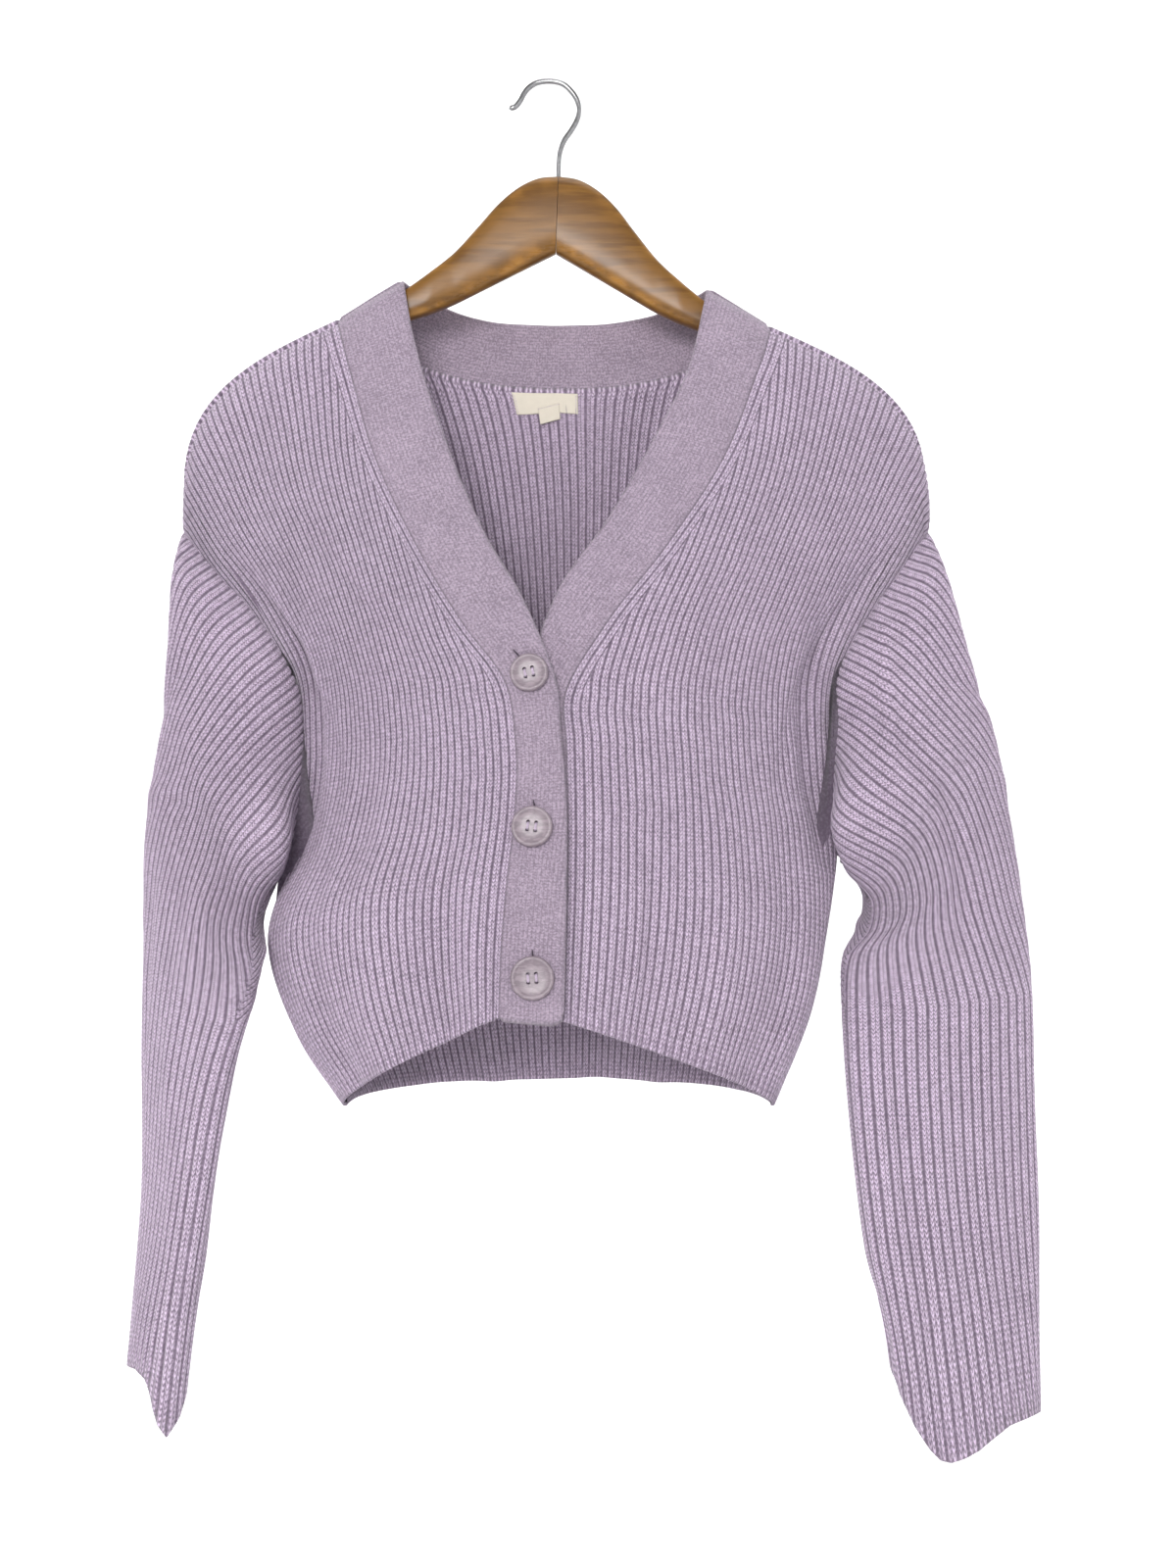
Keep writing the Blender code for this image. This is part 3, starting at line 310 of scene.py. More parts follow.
WIRE = 1.65  # radius of the hook's wire
HOOK_ROUTE = (  # X and Z of the wire's middle, from its tip to its foot in the wood
    (-27.5, -15.0), (-23.5, -13.8), (-20.6, -10.4), (-18.6, -6.6), (-15.4, -2.4),
    (-10.8, 0.6), (-5.4, 1.75), (0.0, 1.65), (5.4, 0.2), (10.4, -4.0), (14.2, -9.6),
    (15.6, -15.6), (14.2, -22.0), (10.6, -28.6), (6.4, -34.6), (4.0, -41.0),
    (3.2, -47.0), (3.0, -53.0), (3.0, -60.0), (3.0, -82.0),
)

# Knitting
FRONT_RIBS = (70.0, 200.0, 225.0)  # ribs' run lost to the V, across the hem, across the shoulder
V_START = 0.47  # level where the V starts
RIBS_JOIN = 0.42  # level above which more ribs begin at the armhole
SLEEVE_RIBS = (200.0, 100.0)  # half the run of ribs round a sleeve at the armhole and the cuff
SLEEVE_SHIFT = {-1: 60.0, 1: 92.0}  # how far the ribs have come round to the front at the cuff
PANEL_RISE = 430.0  # a panel's length from hem to shoulder
SLEEVE_RISE = 480.0  # a sleeve's length from armhole to cuff
SEAM_CROWD = 2.0  # width at the underarm seam into which the ribs that have ended are drawn
CROWD_REACH = 20.0  # distance past the seam by which half that width is taken up
SLEEVE_SETTLES = 0.6  # share of a sleeve by which its ribs have stopped narrowing
HEM_EDGE = 8.0  # height of the finer rib at the hem
CUFF_EDGE = 12.0  # and at a cuff
V_RIBS = 2  # ribs that run along the V's seam, where the others run into them
RIB_FADE = 5.0  # distance over which the ribs rise from a free edge or a seam
SEAM_DIP = 0.7  # how far the cloth sinks at a seam
EDGE_LIFT = 0.35  # how far a free edge curls out
SEAM_TUCK = 2.2  # how far a panel goes under the next one at a seam
WAVES = 0.9  # height of the slow waves of worn knitting
CREASES_FADE = 14.0  # distance from a seam over which waves and creases rise
TRIM_RISE = 390.0  # length of the back's middle from hem to neck

# Meshes of the knitting. A panel's surface is worked out on an even grid first, and the
# columns of its mesh then follow its ribs over that surface.
PANEL_LEVELS = 170
FRONT_SHARES = 110
BACK_SHARES = 241
SLEEVE_LEVELS = 200
SLEEVE_SHARES = 281
ROWS = 100  # rows of mesh up a rib of a front or a sleeve
BACK_ROWS = 84
COLUMN = 1.0  # width of a mesh column
FINE_COLUMN = 0.4  # width of one where ribs begin at an armhole
EVENED = 8  # columns beside an armhole whose normals are taken from their neighbour

# Buttonholes
SLITS = {  # X and Z of the middle, lean in degrees, half length
    "buttonhole_top": (-19.0, -354.5, -42.0, 5.0),
    "buttonhole_middle": (-9.0, -442.0, -12.0, 5.0),
    "buttonhole_bottom": (-9.5, -524.5, -8.0, 4.5),
}
SLIT_HALF = 0.55  # half width of the dark slit, a painted shadow inside the buttonhole
SLIT_SUNK = 0.25  # how deep its middle lies in the band's face
SLIT_EDGING = 1.0  # from its middle to the stitches beside it

# Creases, given one by one: distance across the ribs and up the piece, angle from the ribs'
# cross direction, half length, half width, and height.
CREASE_COLUMNS = ("across", "up", "angle", "long", "wide", "height")
FRONT_LEFT_CREASES = (
    (34, 196, 62, 34, 6, -1.6),
    (22, 176, 40, 30, 5, 1.5),
    (18, 150, 12, 22, 5, -1.3),
    (60, 262, 38, 30, 8, 1.4),
    (96, 318, 28, 34, 7, -1.4),
    (150, 186, 72, 42, 7, -1.8),
    (120, 120, 80, 60, 8, 1.4),
    (48, 92, 84, 54, 7, -1.5),
    (22, 62, 82, 46, 6, 1.3),
    (170, 236, 58, 26, 6, 1.5),
    (96, 26, 86, 40, 9, 1.2),
)
FRONT_RIGHT_CREASES = (
    (106, 205, -4, 24, 4, -1.7),
    (112, 192, 6, 22, 4, 1.3),
    (40, 168, 22, 34, 5, -1.5),
    (30, 130, 14, 26, 5, 1.3),
    (70, 96, 80, 58, 7, -1.6),
    (44, 70, 84, 46, 6, 1.4),
    (150, 182, 70, 46, 7, -1.9),
    (120, 120, 84, 52, 8, 1.4),
    (92, 300, 30, 34, 8, 1.4),
    (150, 262, 44, 28, 7, -1.5),
    (168, 60, 78, 44, 8, 1.3),
)
BACK_CREASES = (
    (-120, 110, 84, 62, 9, 1.5),
    (-60, 200, 70, 52, 8, -1.5),
    (30, 150, 88, 70, 9, 1.4),
    (96, 230, 64, 46, 8, -1.6),
    (150, 150, 76, 52, 8, 1.5),
    (-160, 250, 50, 34, 7, -1.5),
    (0, 330, 4, 60, 8, -1.2),
    (-40, 44, 84, 42, 8, 1.3),
)
SLEEVE_LEFT_CREASES = (
    (40, 372, 74, 50, 7, -2.0),
    (70, 330, 58, 34, 6, 1.8),
    (96, 352, 44, 30, 6, -1.8),
    (20, 250, 12, 26, 6, -1.3),
    (44, 228, -8, 24, 6, 1.3),
    (30, 120, 84, 70, 7, 1.6),
    (54, 70, 80, 48, 6, -1.6),
    (8, 36, 16, 20, 5, 1.2),
    (-60, 300, 66, 46, 8, 1.8),
    (-90, 210, 78, 60, 8, -1.8),
    (-40, 90, 84, 60, 7, 1.5),
    (60, 22, 20, 18, 5, -1.3),
)
SLEEVE_RIGHT_CREASES = (
    (52, 384, 70, 44, 6, -2.0),
    (84, 340, 56, 36, 6, 1.8),
    (110, 366, 40, 26, 6, -1.8),
    (40, 96, 6, 30, 5, 1.3),
    (34, 84, -4, 28, 5, -1.3),
    (60, 160, 82, 60, 7, 1.5),
    (8, 40, 24, 20, 5, -1.5),
    (16, 26, -10, 18, 5, 1.3),
    (30, 250, 78, 56, 7, -1.3),
    (-60, 300, 66, 46, 8, 1.8),
    (-90, 200, 78, 60, 8, -1.8),
    (-50, 70, 84, 50, 7, 1.5),
)

# Where the front of the cloth is pressed out or in: its place, its reach both ways, its lean
# in degrees and how far forward it comes.
PRESS_COLUMNS = ("x", "z", "wide", "tall", "lean", "forward")
PRESSES = (
    (-166, -348, 20, 24, 0, 6),
    (-149, -398, 6, 66, 2, -4.5),
    (-128, -392, 12, 70, 4, 2.5),
    (172, -354, 20, 24, 0, 6),
    (155, -374, 6, 52, -4, -4.5),
    (134, -384, 12, 60, -4, 2.5),
    (199, -372, 3.5, 130, 3, 2.2),
    (-227, -620, 4, 120, 3, 1.6),
)

# Stage
CAMERA_AT = (0.021, -0.95, -0.4284)
LENS = 35.625  # in millimetres, on Blender's usual 36 mm sensor
BOWL = (  # radius and level in metres of the floor and the wall that it curves up into
    (0.0, -1.25), (1.55, -1.25), (2.0, -1.12), (2.3, -0.82), (2.45, -0.35), (2.5, 0.6), (2.5, 2.2),
)
BOWL_SIDES = 96
BOWL_RINGS = 60
LIT_SPOT = (0.0, 0.0, -0.45)  # what the lamps are aimed at
LIT_WALL = (0.0, 2.5, -0.5)  # what the wall's lamps are aimed at
WORLD_LIGHT = 0.3
LAMPS = {  # place, size, power and colour
    "key": ((-0.35, -1.95, 0.15), 0.7, 27.0, (1.0, 0.985, 0.97)),
    "fill": ((1.3, -1.5, 0.1), 1.6, 2.0, (0.96, 0.98, 1.0)),
    "top": ((0.1, -0.1, 1.3), 1.0, 8.0, (1.0, 1.0, 1.0)),
    "wall_left": ((-1.5, 1.0, 0.9), 1.2, 26.0, (1.0, 1.0, 1.0)),
    "wall_right": ((1.5, 1.0, 0.9), 1.2, 26.0, (1.0, 1.0, 1.0)),
}


def rows_of(names, table):
    """A table's columns by name, as arrays."""
    return dict(zip(names, np.array(table, float).T))


def smooth(knots, values, at):
    """A cubic through values at knots, with each knot's slope taken from its neighbours."""
    values = np.asarray(values, float)
    at = np.atleast_1d(np.asarray(at, float))
    slopes = np.gradient(values, knots, axis=0)
    i = np.clip(np.searchsorted(knots, at, "right") - 1, 0, len(knots) - 2)
    span = (knots[i + 1] - knots[i]).reshape((-1,) + (1,) * (values.ndim - 1))
    u = (at - knots[i]).reshape(span.shape) / span
    rise = u * u * (3 - 2 * u)
    bend = slopes[i] * u * (1 - u) ** 2 - slopes[i + 1] * u * u * (1 - u)
    return values[i] * (1 - rise) + values[i + 1] * rise + bend * span


def ease(low, high, at):
    """0 below low, 1 above high, smooth between."""
    u = np.clip((np.asarray(at, float) - low) / (high - low), 0, 1)
    return u * u * (3 - 2 * u)


def spread(points, shares):
    """Points at the given shares of a polyline's length."""
    run = np.concatenate([[0], np.cumsum(np.linalg.norm(np.diff(points, axis=0), axis=1))])
    at = np.asarray(shares) * run[-1]
    return np.stack([np.interp(at, run, points[:, axis]) for axis in range(3)], -1)


def course(centre, side, square, hang, flat, shares):
    """One row of knitting: a superellipse quarter from the centre edge to the side edge."""
    angle = np.linspace(0, math.pi / 2, 80)
    out = np.sin(angle) ** (2 / square)
    turn = 1 - np.abs(np.cos(angle)) ** (2 / square)
    back = (1 - flat) * turn + flat * out ** 2
    mixed = np.stack([out, back, (1 - hang) * out + hang * turn], -1)
    return spread(centre + (side - centre) * mixed, shares)


def fold_height(folds, level, shares):
    """Height of the soft folds over a grid of courses and shares."""
    height = np.zeros((len(level), len(shares)))
    for row in folds:
        fold = dict(zip(FOLD_COLUMNS, row))
        along = np.clip((level - fold["start"]) / (fold["end"] - fold["start"]), 0, 1)
        middle = fold["low"] + (fold["high"] - fold["low"]) * along
        fade = np.sin(math.pi * along) ** 0.7
        across = (shares[None, :] - middle[:, None]) / fold["width"]
        height += fold["height"] * fade[:, None] * np.exp(-(across ** 2))
    return height


def normals_of(grid, closed=False):
    """Unit normals of a grid of points, from its two directions."""
    if closed:
        wrapped = np.concatenate([grid[:, -2:-1], grid, grid[:, 1:2]], axis=1)
        across = (wrapped[:, 2:] - wrapped[:, :-2])
    else:
        across = np.gradient(grid, axis=1)
    along = np.gradient(grid, axis=0)
    normal = np.cross(across, along)
    return normal / np.maximum(np.linalg.norm(normal, axis=-1, keepdims=True), 1e-9)


def front_grid(courses, folds, levels, shares, outward):
    """A front panel: a row of points for each level, from the centre edge to the side edge."""
    table = rows_of(FRONT_COLUMNS, courses)
    at = {name: smooth(table["level"], table[name], levels) for name in FRONT_COLUMNS[1:]}
    grid = []
    for i in range(len(levels)):
        centre = np.array([at["centre_x"][i], at["centre_y"][i], at["centre_z"][i]])
        side = np.array([at["side_x"][i], at["side_y"][i], at["side_z"][i]])
        crowded = shares + at["crowd"][i] * shares * (1 - shares)
        grid.append(course(centre, side, at["square"][i], at["hang"][i], at["flat"][i], crowded))
    grid = np.array(grid)
    height = fold_height(folds, levels, shares)
    height *= ease(0, 0.08, shares) * ease(0, 0.08, 1 - shares)
    return grid + normals_of(grid) * outward * height[..., None]


def side_edge(courses, levels, behind=False):
    """A front's side seam and armhole edge, or the back's beside it."""
    table = rows_of(FRONT_COLUMNS, courses)
    edge = np.stack([smooth(table["level"], table[name], levels)
                     for name in ("side_x", "side_y", "side_z")], -1)
    if behind:
        above = np.asarray(levels) > UNDERARM
        edge[above, 1] = smooth(table["level"], table["back_y"], levels)[above]
    return edge


def shoulder_line(courses, shares):
    """The top course of a front, which the back shares."""
    top = dict(zip(FRONT_COLUMNS, courses[-1]))
    centre = np.array([top["centre_x"], top["centre_y"], top["centre_z"]], float)
    side = np.array([top["side_x"], top["side_y"], top["side_z"]], float)
    return course(centre, side, top["square"], top["hang"], top["flat"], shares)


def back_top(shares):
    """The back's top edge: shoulder, neck, shoulder, for shares from -1 to 1."""
    left = shoulder_line(FRONT_LEFT_COURSES, (-shares - NECK_SHARE).clip(0) / (1 - NECK_SHARE))
    right = shoulder_line(FRONT_RIGHT_COURSES, (shares - NECK_SHARE).clip(0) / (1 - NECK_SHARE))
    across = (shares / NECK_SHARE).clip(-1, 1)
    start = shoulder_line(FRONT_LEFT_COURSES, np.zeros(1))[0]
    end = shoulder_line(FRONT_RIGHT_COURSES, np.zeros(1))[0]
    neck = start + (end - start) * ((across + 1) / 2)[:, None]
    neck[:, 1] += NECK_DEPTH * (1 - np.abs(across) ** 3.8)
    neck[:, 2] -= NECK_DROP * (1 - np.abs(across) ** 2.35)
    top = np.where((shares < -NECK_SHARE)[:, None], left, neck)
    return np.where((shares > NECK_SHARE)[:, None], right, top)


def back_grid(levels, shares):
    """The back panel: a row of points for each level, from picture left to picture right."""
    table = rows_of(BACK_COLUMNS, BACK_COURSES)
    at = {name: smooth(table["level"], table[name], levels) for name in BACK_COLUMNS[1:]}
    left = side_edge(FRONT_LEFT_COURSES, levels, behind=True)
    right = side_edge(FRONT_RIGHT_COURSES, levels, behind=True)
    grid = []
    for i in range(len(levels)):
        middle = np.array([at["x"][i], at["y"][i], at["z"][i]])
        halves = [course(middle, side, at["square"][i], at["hang"][i], at["flat"][i],
                         np.abs(shares)) for side in (left[i], right[i])]
        grid.append(np.where((shares < 0)[:, None], halves[0], halves[1]))
    grid = np.array(grid)
    height = fold_height(BACK_FOLDS, levels, shares) * ease(0, 0.08, 1 - np.abs(shares))
    height *= (1 - ease(0.8, 0.95, levels))[:, None]
    grid -= normals_of(grid) * height[..., None]
    middle = np.array([[table[name][-1] for name in ("x", "y", "z")]])
    ends = [side_edge(c, [1.0], behind=True)[0] for c in (FRONT_LEFT_COURSES, FRONT_RIGHT_COURSES)]
    top = [table[name][-1] for name in ("square", "hang", "flat")]
    halves = [course(middle[0], end, *top, np.abs(shares)) for end in ends]
    plain_top = np.where((shares < 0)[:, None], halves[0], halves[1])
    climb = np.clip((levels - 0.7) / 0.3, 0, 1)
    pull = 1 - np.sqrt(1 - climb ** 2)
    return grid + (back_top(shares) - plain_top) * pull[:, None, None]


def armhole(courses, levels):
    """The armhole's loop, down the front from the top and up the back, and its shares."""
    above = np.concatenate([[UNDERARM], [level for level in levels if level > UNDERARM]])
    down = side_edge(courses, above)[::-1]
    up = side_edge(courses, above, behind=True)
    shares = []
    for start, half in ((0.0, down), (0.5, up)):
        run = np.concatenate([[0], np.cumsum(np.linalg.norm(np.diff(half, axis=0), axis=1))])
        shares.append(start + 0.5 * run / run[-1])
    return np.concatenate([down, up[1:]]), np.concatenate([shares[0], shares[1][1:]])


def ring_points(ring, outer, shares):
    """A closed superellipse ring from its outer end round by the front."""
    tilt = math.radians(ring["tilt"])
    turn = math.radians(ring["turn"])
    angle = np.linspace(0, 2 * math.pi, 241)
    power = 2 / ring["square"]
    wide = np.sign(np.cos(angle)) * np.abs(np.cos(angle)) ** power
    deep = np.sign(np.sin(angle)) * np.abs(np.sin(angle)) ** power
    chord = np.array([outer * math.cos(tilt) * math.cos(turn),
                      math.cos(tilt) * math.sin(turn), math.sin(tilt)])
    forward = np.array([outer * math.sin(turn), -math.cos(turn), 0.0])
    middle = np.array([ring["x"], ring["y"], ring["z"]])
    points = (middle + wide[:, None] * ring["half"] * chord
              + deep[:, None] * ring["thick"] * forward)
    return spread(points, shares)


def lobe_push(lobes, outer, along, shares):
    """How far the lobes move each point of a sleeve's grid."""
    push = np.zeros((len(along), len(shares), 3))
    for row in lobes:
        lobe = dict(zip(LOBE_COLUMNS, row))
        round_away = (shares - lobe["round"] + 0.5) % 1.0 - 0.5
        far = ((round_away / lobe["round_reach"])[None, :] ** 2
               + ((along - lobe["share"]) / lobe["share_reach"])[:, None] ** 2)
        move = np.array([-outer * lobe["inward"], -lobe["forward"], lobe["up"]])
        push += np.exp(-far)[..., None] * move
    return push * ease(0, 0.03, along)[:, None, None]


def cuff_drop(cuff, ring):
    """How far each point of a sleeve's last ring comes down to reach the cuff's line."""
    table = rows_of(CUFF_COLUMNS, cuff)
    nearness = (ring[:, 1] - EYE[1]) / -EYE[1]
    seen = EYE[0] + (ring[:, 0] - EYE[0]) / nearness
    line = np.interp(seen, table["x"], table["z"])
    return EYE[2] + (line - EYE[2]) * nearness - ring[:, 2]


def sleeve_grid(rings, courses, folds, lobes, cuff, outer, levels, along, shares):
    """A sleeve: a closed ring of points for each share of its length."""
    loop, loop_shares = armhole(courses, levels)
    seam = np.stack([np.interp(shares, loop_shares, loop[:, axis]) for axis in range(3)], -1)
    table = rows_of(RING_COLUMNS, rings)
    at = {name: smooth(table["share"], table[name], along) for name in RING_COLUMNS[1:]}
    first = {name: table[name][0] for name in RING_COLUMNS[1:]}
    plain = ring_points(first, outer, shares)
    grid = []
    for i, share in enumerate(along):
        ring = {name: at[name][i] for name in at}
        keep = 1 - ease(0, RING_SETTLES, share)
        grid.append(ring_points(ring, outer, shares) + (seam - plain) * keep)
    grid = np.array(grid)
    grid += lobe_push(lobes, outer, along, shares)
    grid[..., 2] += cuff_drop(cuff, grid[-1]) * ease(CUFF_FROM, 1.0, along)[:, None]
    height = fold_height(folds, along, shares) * ease(0, 0.10, along)[:, None]
    return grid + normals_of(grid, closed=True) * outer * height[..., None]


def band_edge(table, levels):
    """The free edge of a front band beside the given courses."""
    columns = rows_of(EDGE_COLUMNS, table)
    return np.stack([smooth(columns["level"], columns[name], levels)
                     for name in ("x", "y", "z")], -1)


def back_band_edge(seam, start, end):
    """The free edge of the band behind the neck, above each point of its seam."""
    across = np.sin(np.linspace(-math.pi / 2, math.pi / 2, len(seam)))
    edge = start + (end - start) * ((across + 1) / 2)[:, None]
    middle = seam[len(seam) // 2]
    flat = 1 - np.abs(across) ** 3.6
    edge[:, 1] += (middle[1] + BACK_NECK_LEAN - edge[:, 1]) * flat
    edge[:, 2] += (middle[2] + BACK_NECK_RISE - edge[:, 2]) * (1 - np.abs(across) ** 2.6)
    return edge


class Surface:
    """A panel's middle surface, read anywhere between its points."""

    def __init__(self, grid, normals, levels, shares):
        self.grid = grid
        self.normals = normals
        self.levels = levels
        self.shares = shares

    def at(self, level, share):
        """Points and unit normals at arrays of levels and shares."""
        both = np.concatenate([self.grid, self.normals], -1)
        rows = np.interp(level, self.levels, np.arange(len(self.levels)))
        columns = np.interp(share, self.shares, np.arange(len(self.shares)))
        i = np.clip(rows.astype(int), 0, len(self.levels) - 2)
        j = np.clip(columns.astype(int), 0, len(self.shares) - 2)
        up = (rows - i)[..., None]
        over = (columns - j)[..., None]
        low = both[i, j] * (1 - over) + both[i, j + 1] * over
        high = both[i + 1, j] * (1 - over) + both[i + 1, j + 1] * over
        mixed = low * (1 - up) + high * up
        normals = mixed[..., 3:]
        return mixed[..., :3], normals / np.linalg.norm(normals, axis=-1, keepdims=True)


def pressed(grid):
    """The larger folds of the front, pressed out or in wherever they lie."""
    near = 1 - ease(-2, 14, grid[..., 1])
    push = 0
    for row in PRESSES:
        press = dict(zip(PRESS_COLUMNS, row))
        lean = math.radians(press["lean"])
        over = grid[..., 0] - press["x"]
        down = grid[..., 2] - press["z"]
        across = (over * math.cos(lean) + down * math.sin(lean)) / press["wide"]
        along = (down * math.cos(lean) - over * math.sin(lean)) / press["tall"]
        push = push + press["forward"] * np.exp(-(across ** 2) - along ** 2)
    grid[..., 1] -= push * near
    return grid


def columns_between(low, high, fine_low, fine_high):
    """Places of the mesh's columns, closer together near an end where ribs begin or stop."""
    parts = [np.arange(low, low + fine_low, FINE_COLUMN),
             np.arange(low + fine_low, high - fine_high, COLUMN),
             np.arange(high - fine_high, high + FINE_COLUMN / 2, FINE_COLUMN)]
    return np.concatenate(parts)


def crease_height(creases, across, up):
    """Height of the listed creases, over a grid."""
    height = np.zeros(np.broadcast(across, up).shape)
    for row in creases:
        crease = dict(zip(CREASE_COLUMNS, row))
        angle = math.radians(crease["angle"])
        dx = across - crease["across"]
        dy = up - crease["up"]
        along = dx * math.cos(angle) + dy * math.sin(angle)
        aside = dy * math.cos(angle) - dx * math.sin(angle) + 0.0016 * along ** 2
        height += crease["height"] * np.exp(
            -((along / crease["long"]) ** 4) - (aside / crease["wide"]) ** 2)
    return height


def ripple(seed, across, up, height):
    """Slow, uneven waves of worn knitting."""
    chance = np.random.default_rng(seed)
    total = np.zeros(np.broadcast(across, up).shape)
    for wave in range(7):
        length = 28.0 + 18.0 * wave
        turn = chance.uniform(-0.5, 0.5)
        phase = chance.uniform(0, 2 * math.pi)
        total += (length / 100) ** 0.5 * np.sin(
            2 * math.pi * (across * math.cos(turn) + up * math.sin(turn) * 0.6) / length + phase)
    return total * height / 3


def rib_height(across, pitch):
    """A rib's section: a narrow purl valley, and two knit columns side by side."""
    place = np.abs((across / pitch) % 1.0 - 0.5) * 2
    return (1 - place ** 3.0) - 0.12 * np.exp(-((place / 0.16) ** 2)) - 0.62


def add_mesh(name, points, faces, material, uv=None, values=None):
    """A smooth mesh object from points in millimetres and faces as rows of indices."""
    mesh = bpy.data.meshes.new(name)
    mesh.from_pydata((np.asarray(points, float) * MM).tolist(), [], [tuple(f) for f in faces])
    mesh.materials.append(material)
    mesh.shade_smooth()
    corners = np.empty(len(mesh.loops), int)
    mesh.loops.foreach_get("vertex_index", corners)
    if uv is not None:
        layer = mesh.uv_layers.new(name="knit")
        layer.data.foreach_set("uv", np.asarray(uv, float)[corners].ravel())
    for key, value in (values or {}).items():
        layer = mesh.attributes.new(key, "FLOAT", "POINT")
        layer.data.foreach_set("value", np.asarray(value, float).ravel())
    thing = bpy.data.objects.new(name, mesh)
    bpy.context.scene.collection.objects.link(thing)
    return thing


def keep_piece(thing, slot, *nodes):
    """Puts a piece on the root body, and hides the CAD nodes that it stands for. The slot is not
    used.
    """
    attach(thing, "root")
    if nodes:
        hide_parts(*nodes)


def add_shell(name, points, normals, half, outward, material, uv, edge, lip=0.7, margin=99.0):
    """A closed shell round a grid of points: outer skin, inner skin and a rounded lip.

    The lip is longer at a seam, where it goes under the next piece. The edge attribute is 1 at
    a hem or a cuff, and the margin attribute counts ribs from the V's seam.
    """
    rows, columns = points.shape[:2]
    half = np.broadcast_to(half, (rows, columns))[..., None]
    count = rows * columns
    index = np.arange(count).reshape(rows, columns)
    inside_i = np.clip(np.arange(rows), 1, rows - 2)[:, None]
    inside_j = np.clip(np.arange(columns), 1, columns - 2)[None, :]
    away = points - points[inside_i, inside_j]
    away /= np.maximum(np.linalg.norm(away, axis=-1, keepdims=True), 1e-6)
    ring = np.concatenate([index[0, :-1], index[:-1, -1], index[-1, :0:-1], index[:0:-1, 0]])
    flat = points.reshape(-1, 3)
    skin = (points + normals * half).reshape(-1, 3)
    lining = (points - normals * half).reshape(-1, 3)
    edge = np.broadcast_to(edge, (rows, columns)).reshape(-1)
    along = np.roll(flat[ring], -1, axis=0) - np.roll(flat[ring], 1, axis=0)
    along /= np.maximum(np.linalg.norm(along, axis=-1, keepdims=True), 1e-6)
    away = away.reshape(-1, 3)[ring]
    away -= (away * along).sum(axis=-1, keepdims=True) * along
    away /= np.maximum(np.linalg.norm(away, axis=-1, keepdims=True), 0.2)
    rim = flat[ring] + away * (lip + SEAM_TUCK * (1 - edge[ring]))[:, None]
    cells = np.stack([index[:-1, :-1], index[:-1, 1:], index[1:, 1:], index[1:, :-1]], -1)
    cells = cells.reshape(-1, 4)
    following = np.roll(np.arange(len(ring)), -1)
    middle = 2 * count + np.arange(len(ring))
    top = np.stack([ring[following], ring, middle, middle[following]], -1)
    low = np.stack([middle[following], middle, count + ring, count + ring[following]], -1)
    faces = np.concatenate([cells, count + cells[:, ::-1], top, low])
    if outward < 0:
        faces = faces[:, ::-1]
    flat_uv = uv.reshape(-1, 2)
    margin = np.broadcast_to(margin, (rows, columns)).reshape(-1)
    return add_mesh(
        name, np.concatenate([skin, lining, rim]), faces, material,
        np.concatenate([flat_uv, flat_uv, flat_uv[ring]]),
        {"edge": np.concatenate([edge, edge, edge[ring]]),
         "margin": np.concatenate([margin, margin, margin[ring]])})


def knit_height(across, look, free, seam):
    """Height of ribs and their valleys, which fade at a free edge and sink at a seam."""
    fade = ease(0, RIB_FADE, free) * (0.45 + 0.55 * ease(0, RIB_FADE, seam))
    dip = SEAM_DIP * (1 - ease(0, 4, seam))
    lift = EDGE_LIFT * np.exp(-((free / RIB_FADE) ** 2))
    return rib_height(across, look.rib_pitch / MM) * look.rib_depth / MM * fade - dip + lift


def edge_share(free, height):
    """One in the finer rib of a hem or cuff, and none above it."""
    return 1 - ease(height * 0.7, height * 1.1, free)


def knit_shell(name, points, normals, outward, run, up, seam, free_height, creases, seed,
               look, material, margin=None):
    """A ribbed shell on a panel's surface, with its creases and its slow waves."""
    pitch = look.rib_pitch / MM
    ribs = run
    if margin is not None:
        ribs = np.where(margin < V_RIBS * pitch, margin, run)
    worn = crease_height(creases, run, up) + ripple(seed, run, up, WAVES)
    height = knit_height(ribs, look, up, seam) + worn * ease(0, CREASES_FADE, seam)
    uv = np.stack([run / pitch, up / (look.row_pitch / MM)], -1)
    counted = {} if margin is None else {"margin": margin / pitch}
    return add_shell(name, points + normals * height[..., None], normals,
                     look.cloth_thick / MM / 2, outward, material, uv,
                     edge_share(up, free_height), **counted)


def run_out(level):
    """Where the ribs' run ends at the side seam and the armhole."""
    _, hem_run, top_run = FRONT_RIBS
    return hem_run + (top_run - hem_run) * ease(RIBS_JOIN, 1.0, level)


def rib_start(across):
    """The level where a rib begins: the hem, or the armhole beside the shoulder."""
    levels = np.linspace(RIBS_JOIN, 1, 200)
    return np.where(across <= FRONT_RIBS[1], 0.0, np.interp(across, run_out(levels), levels))


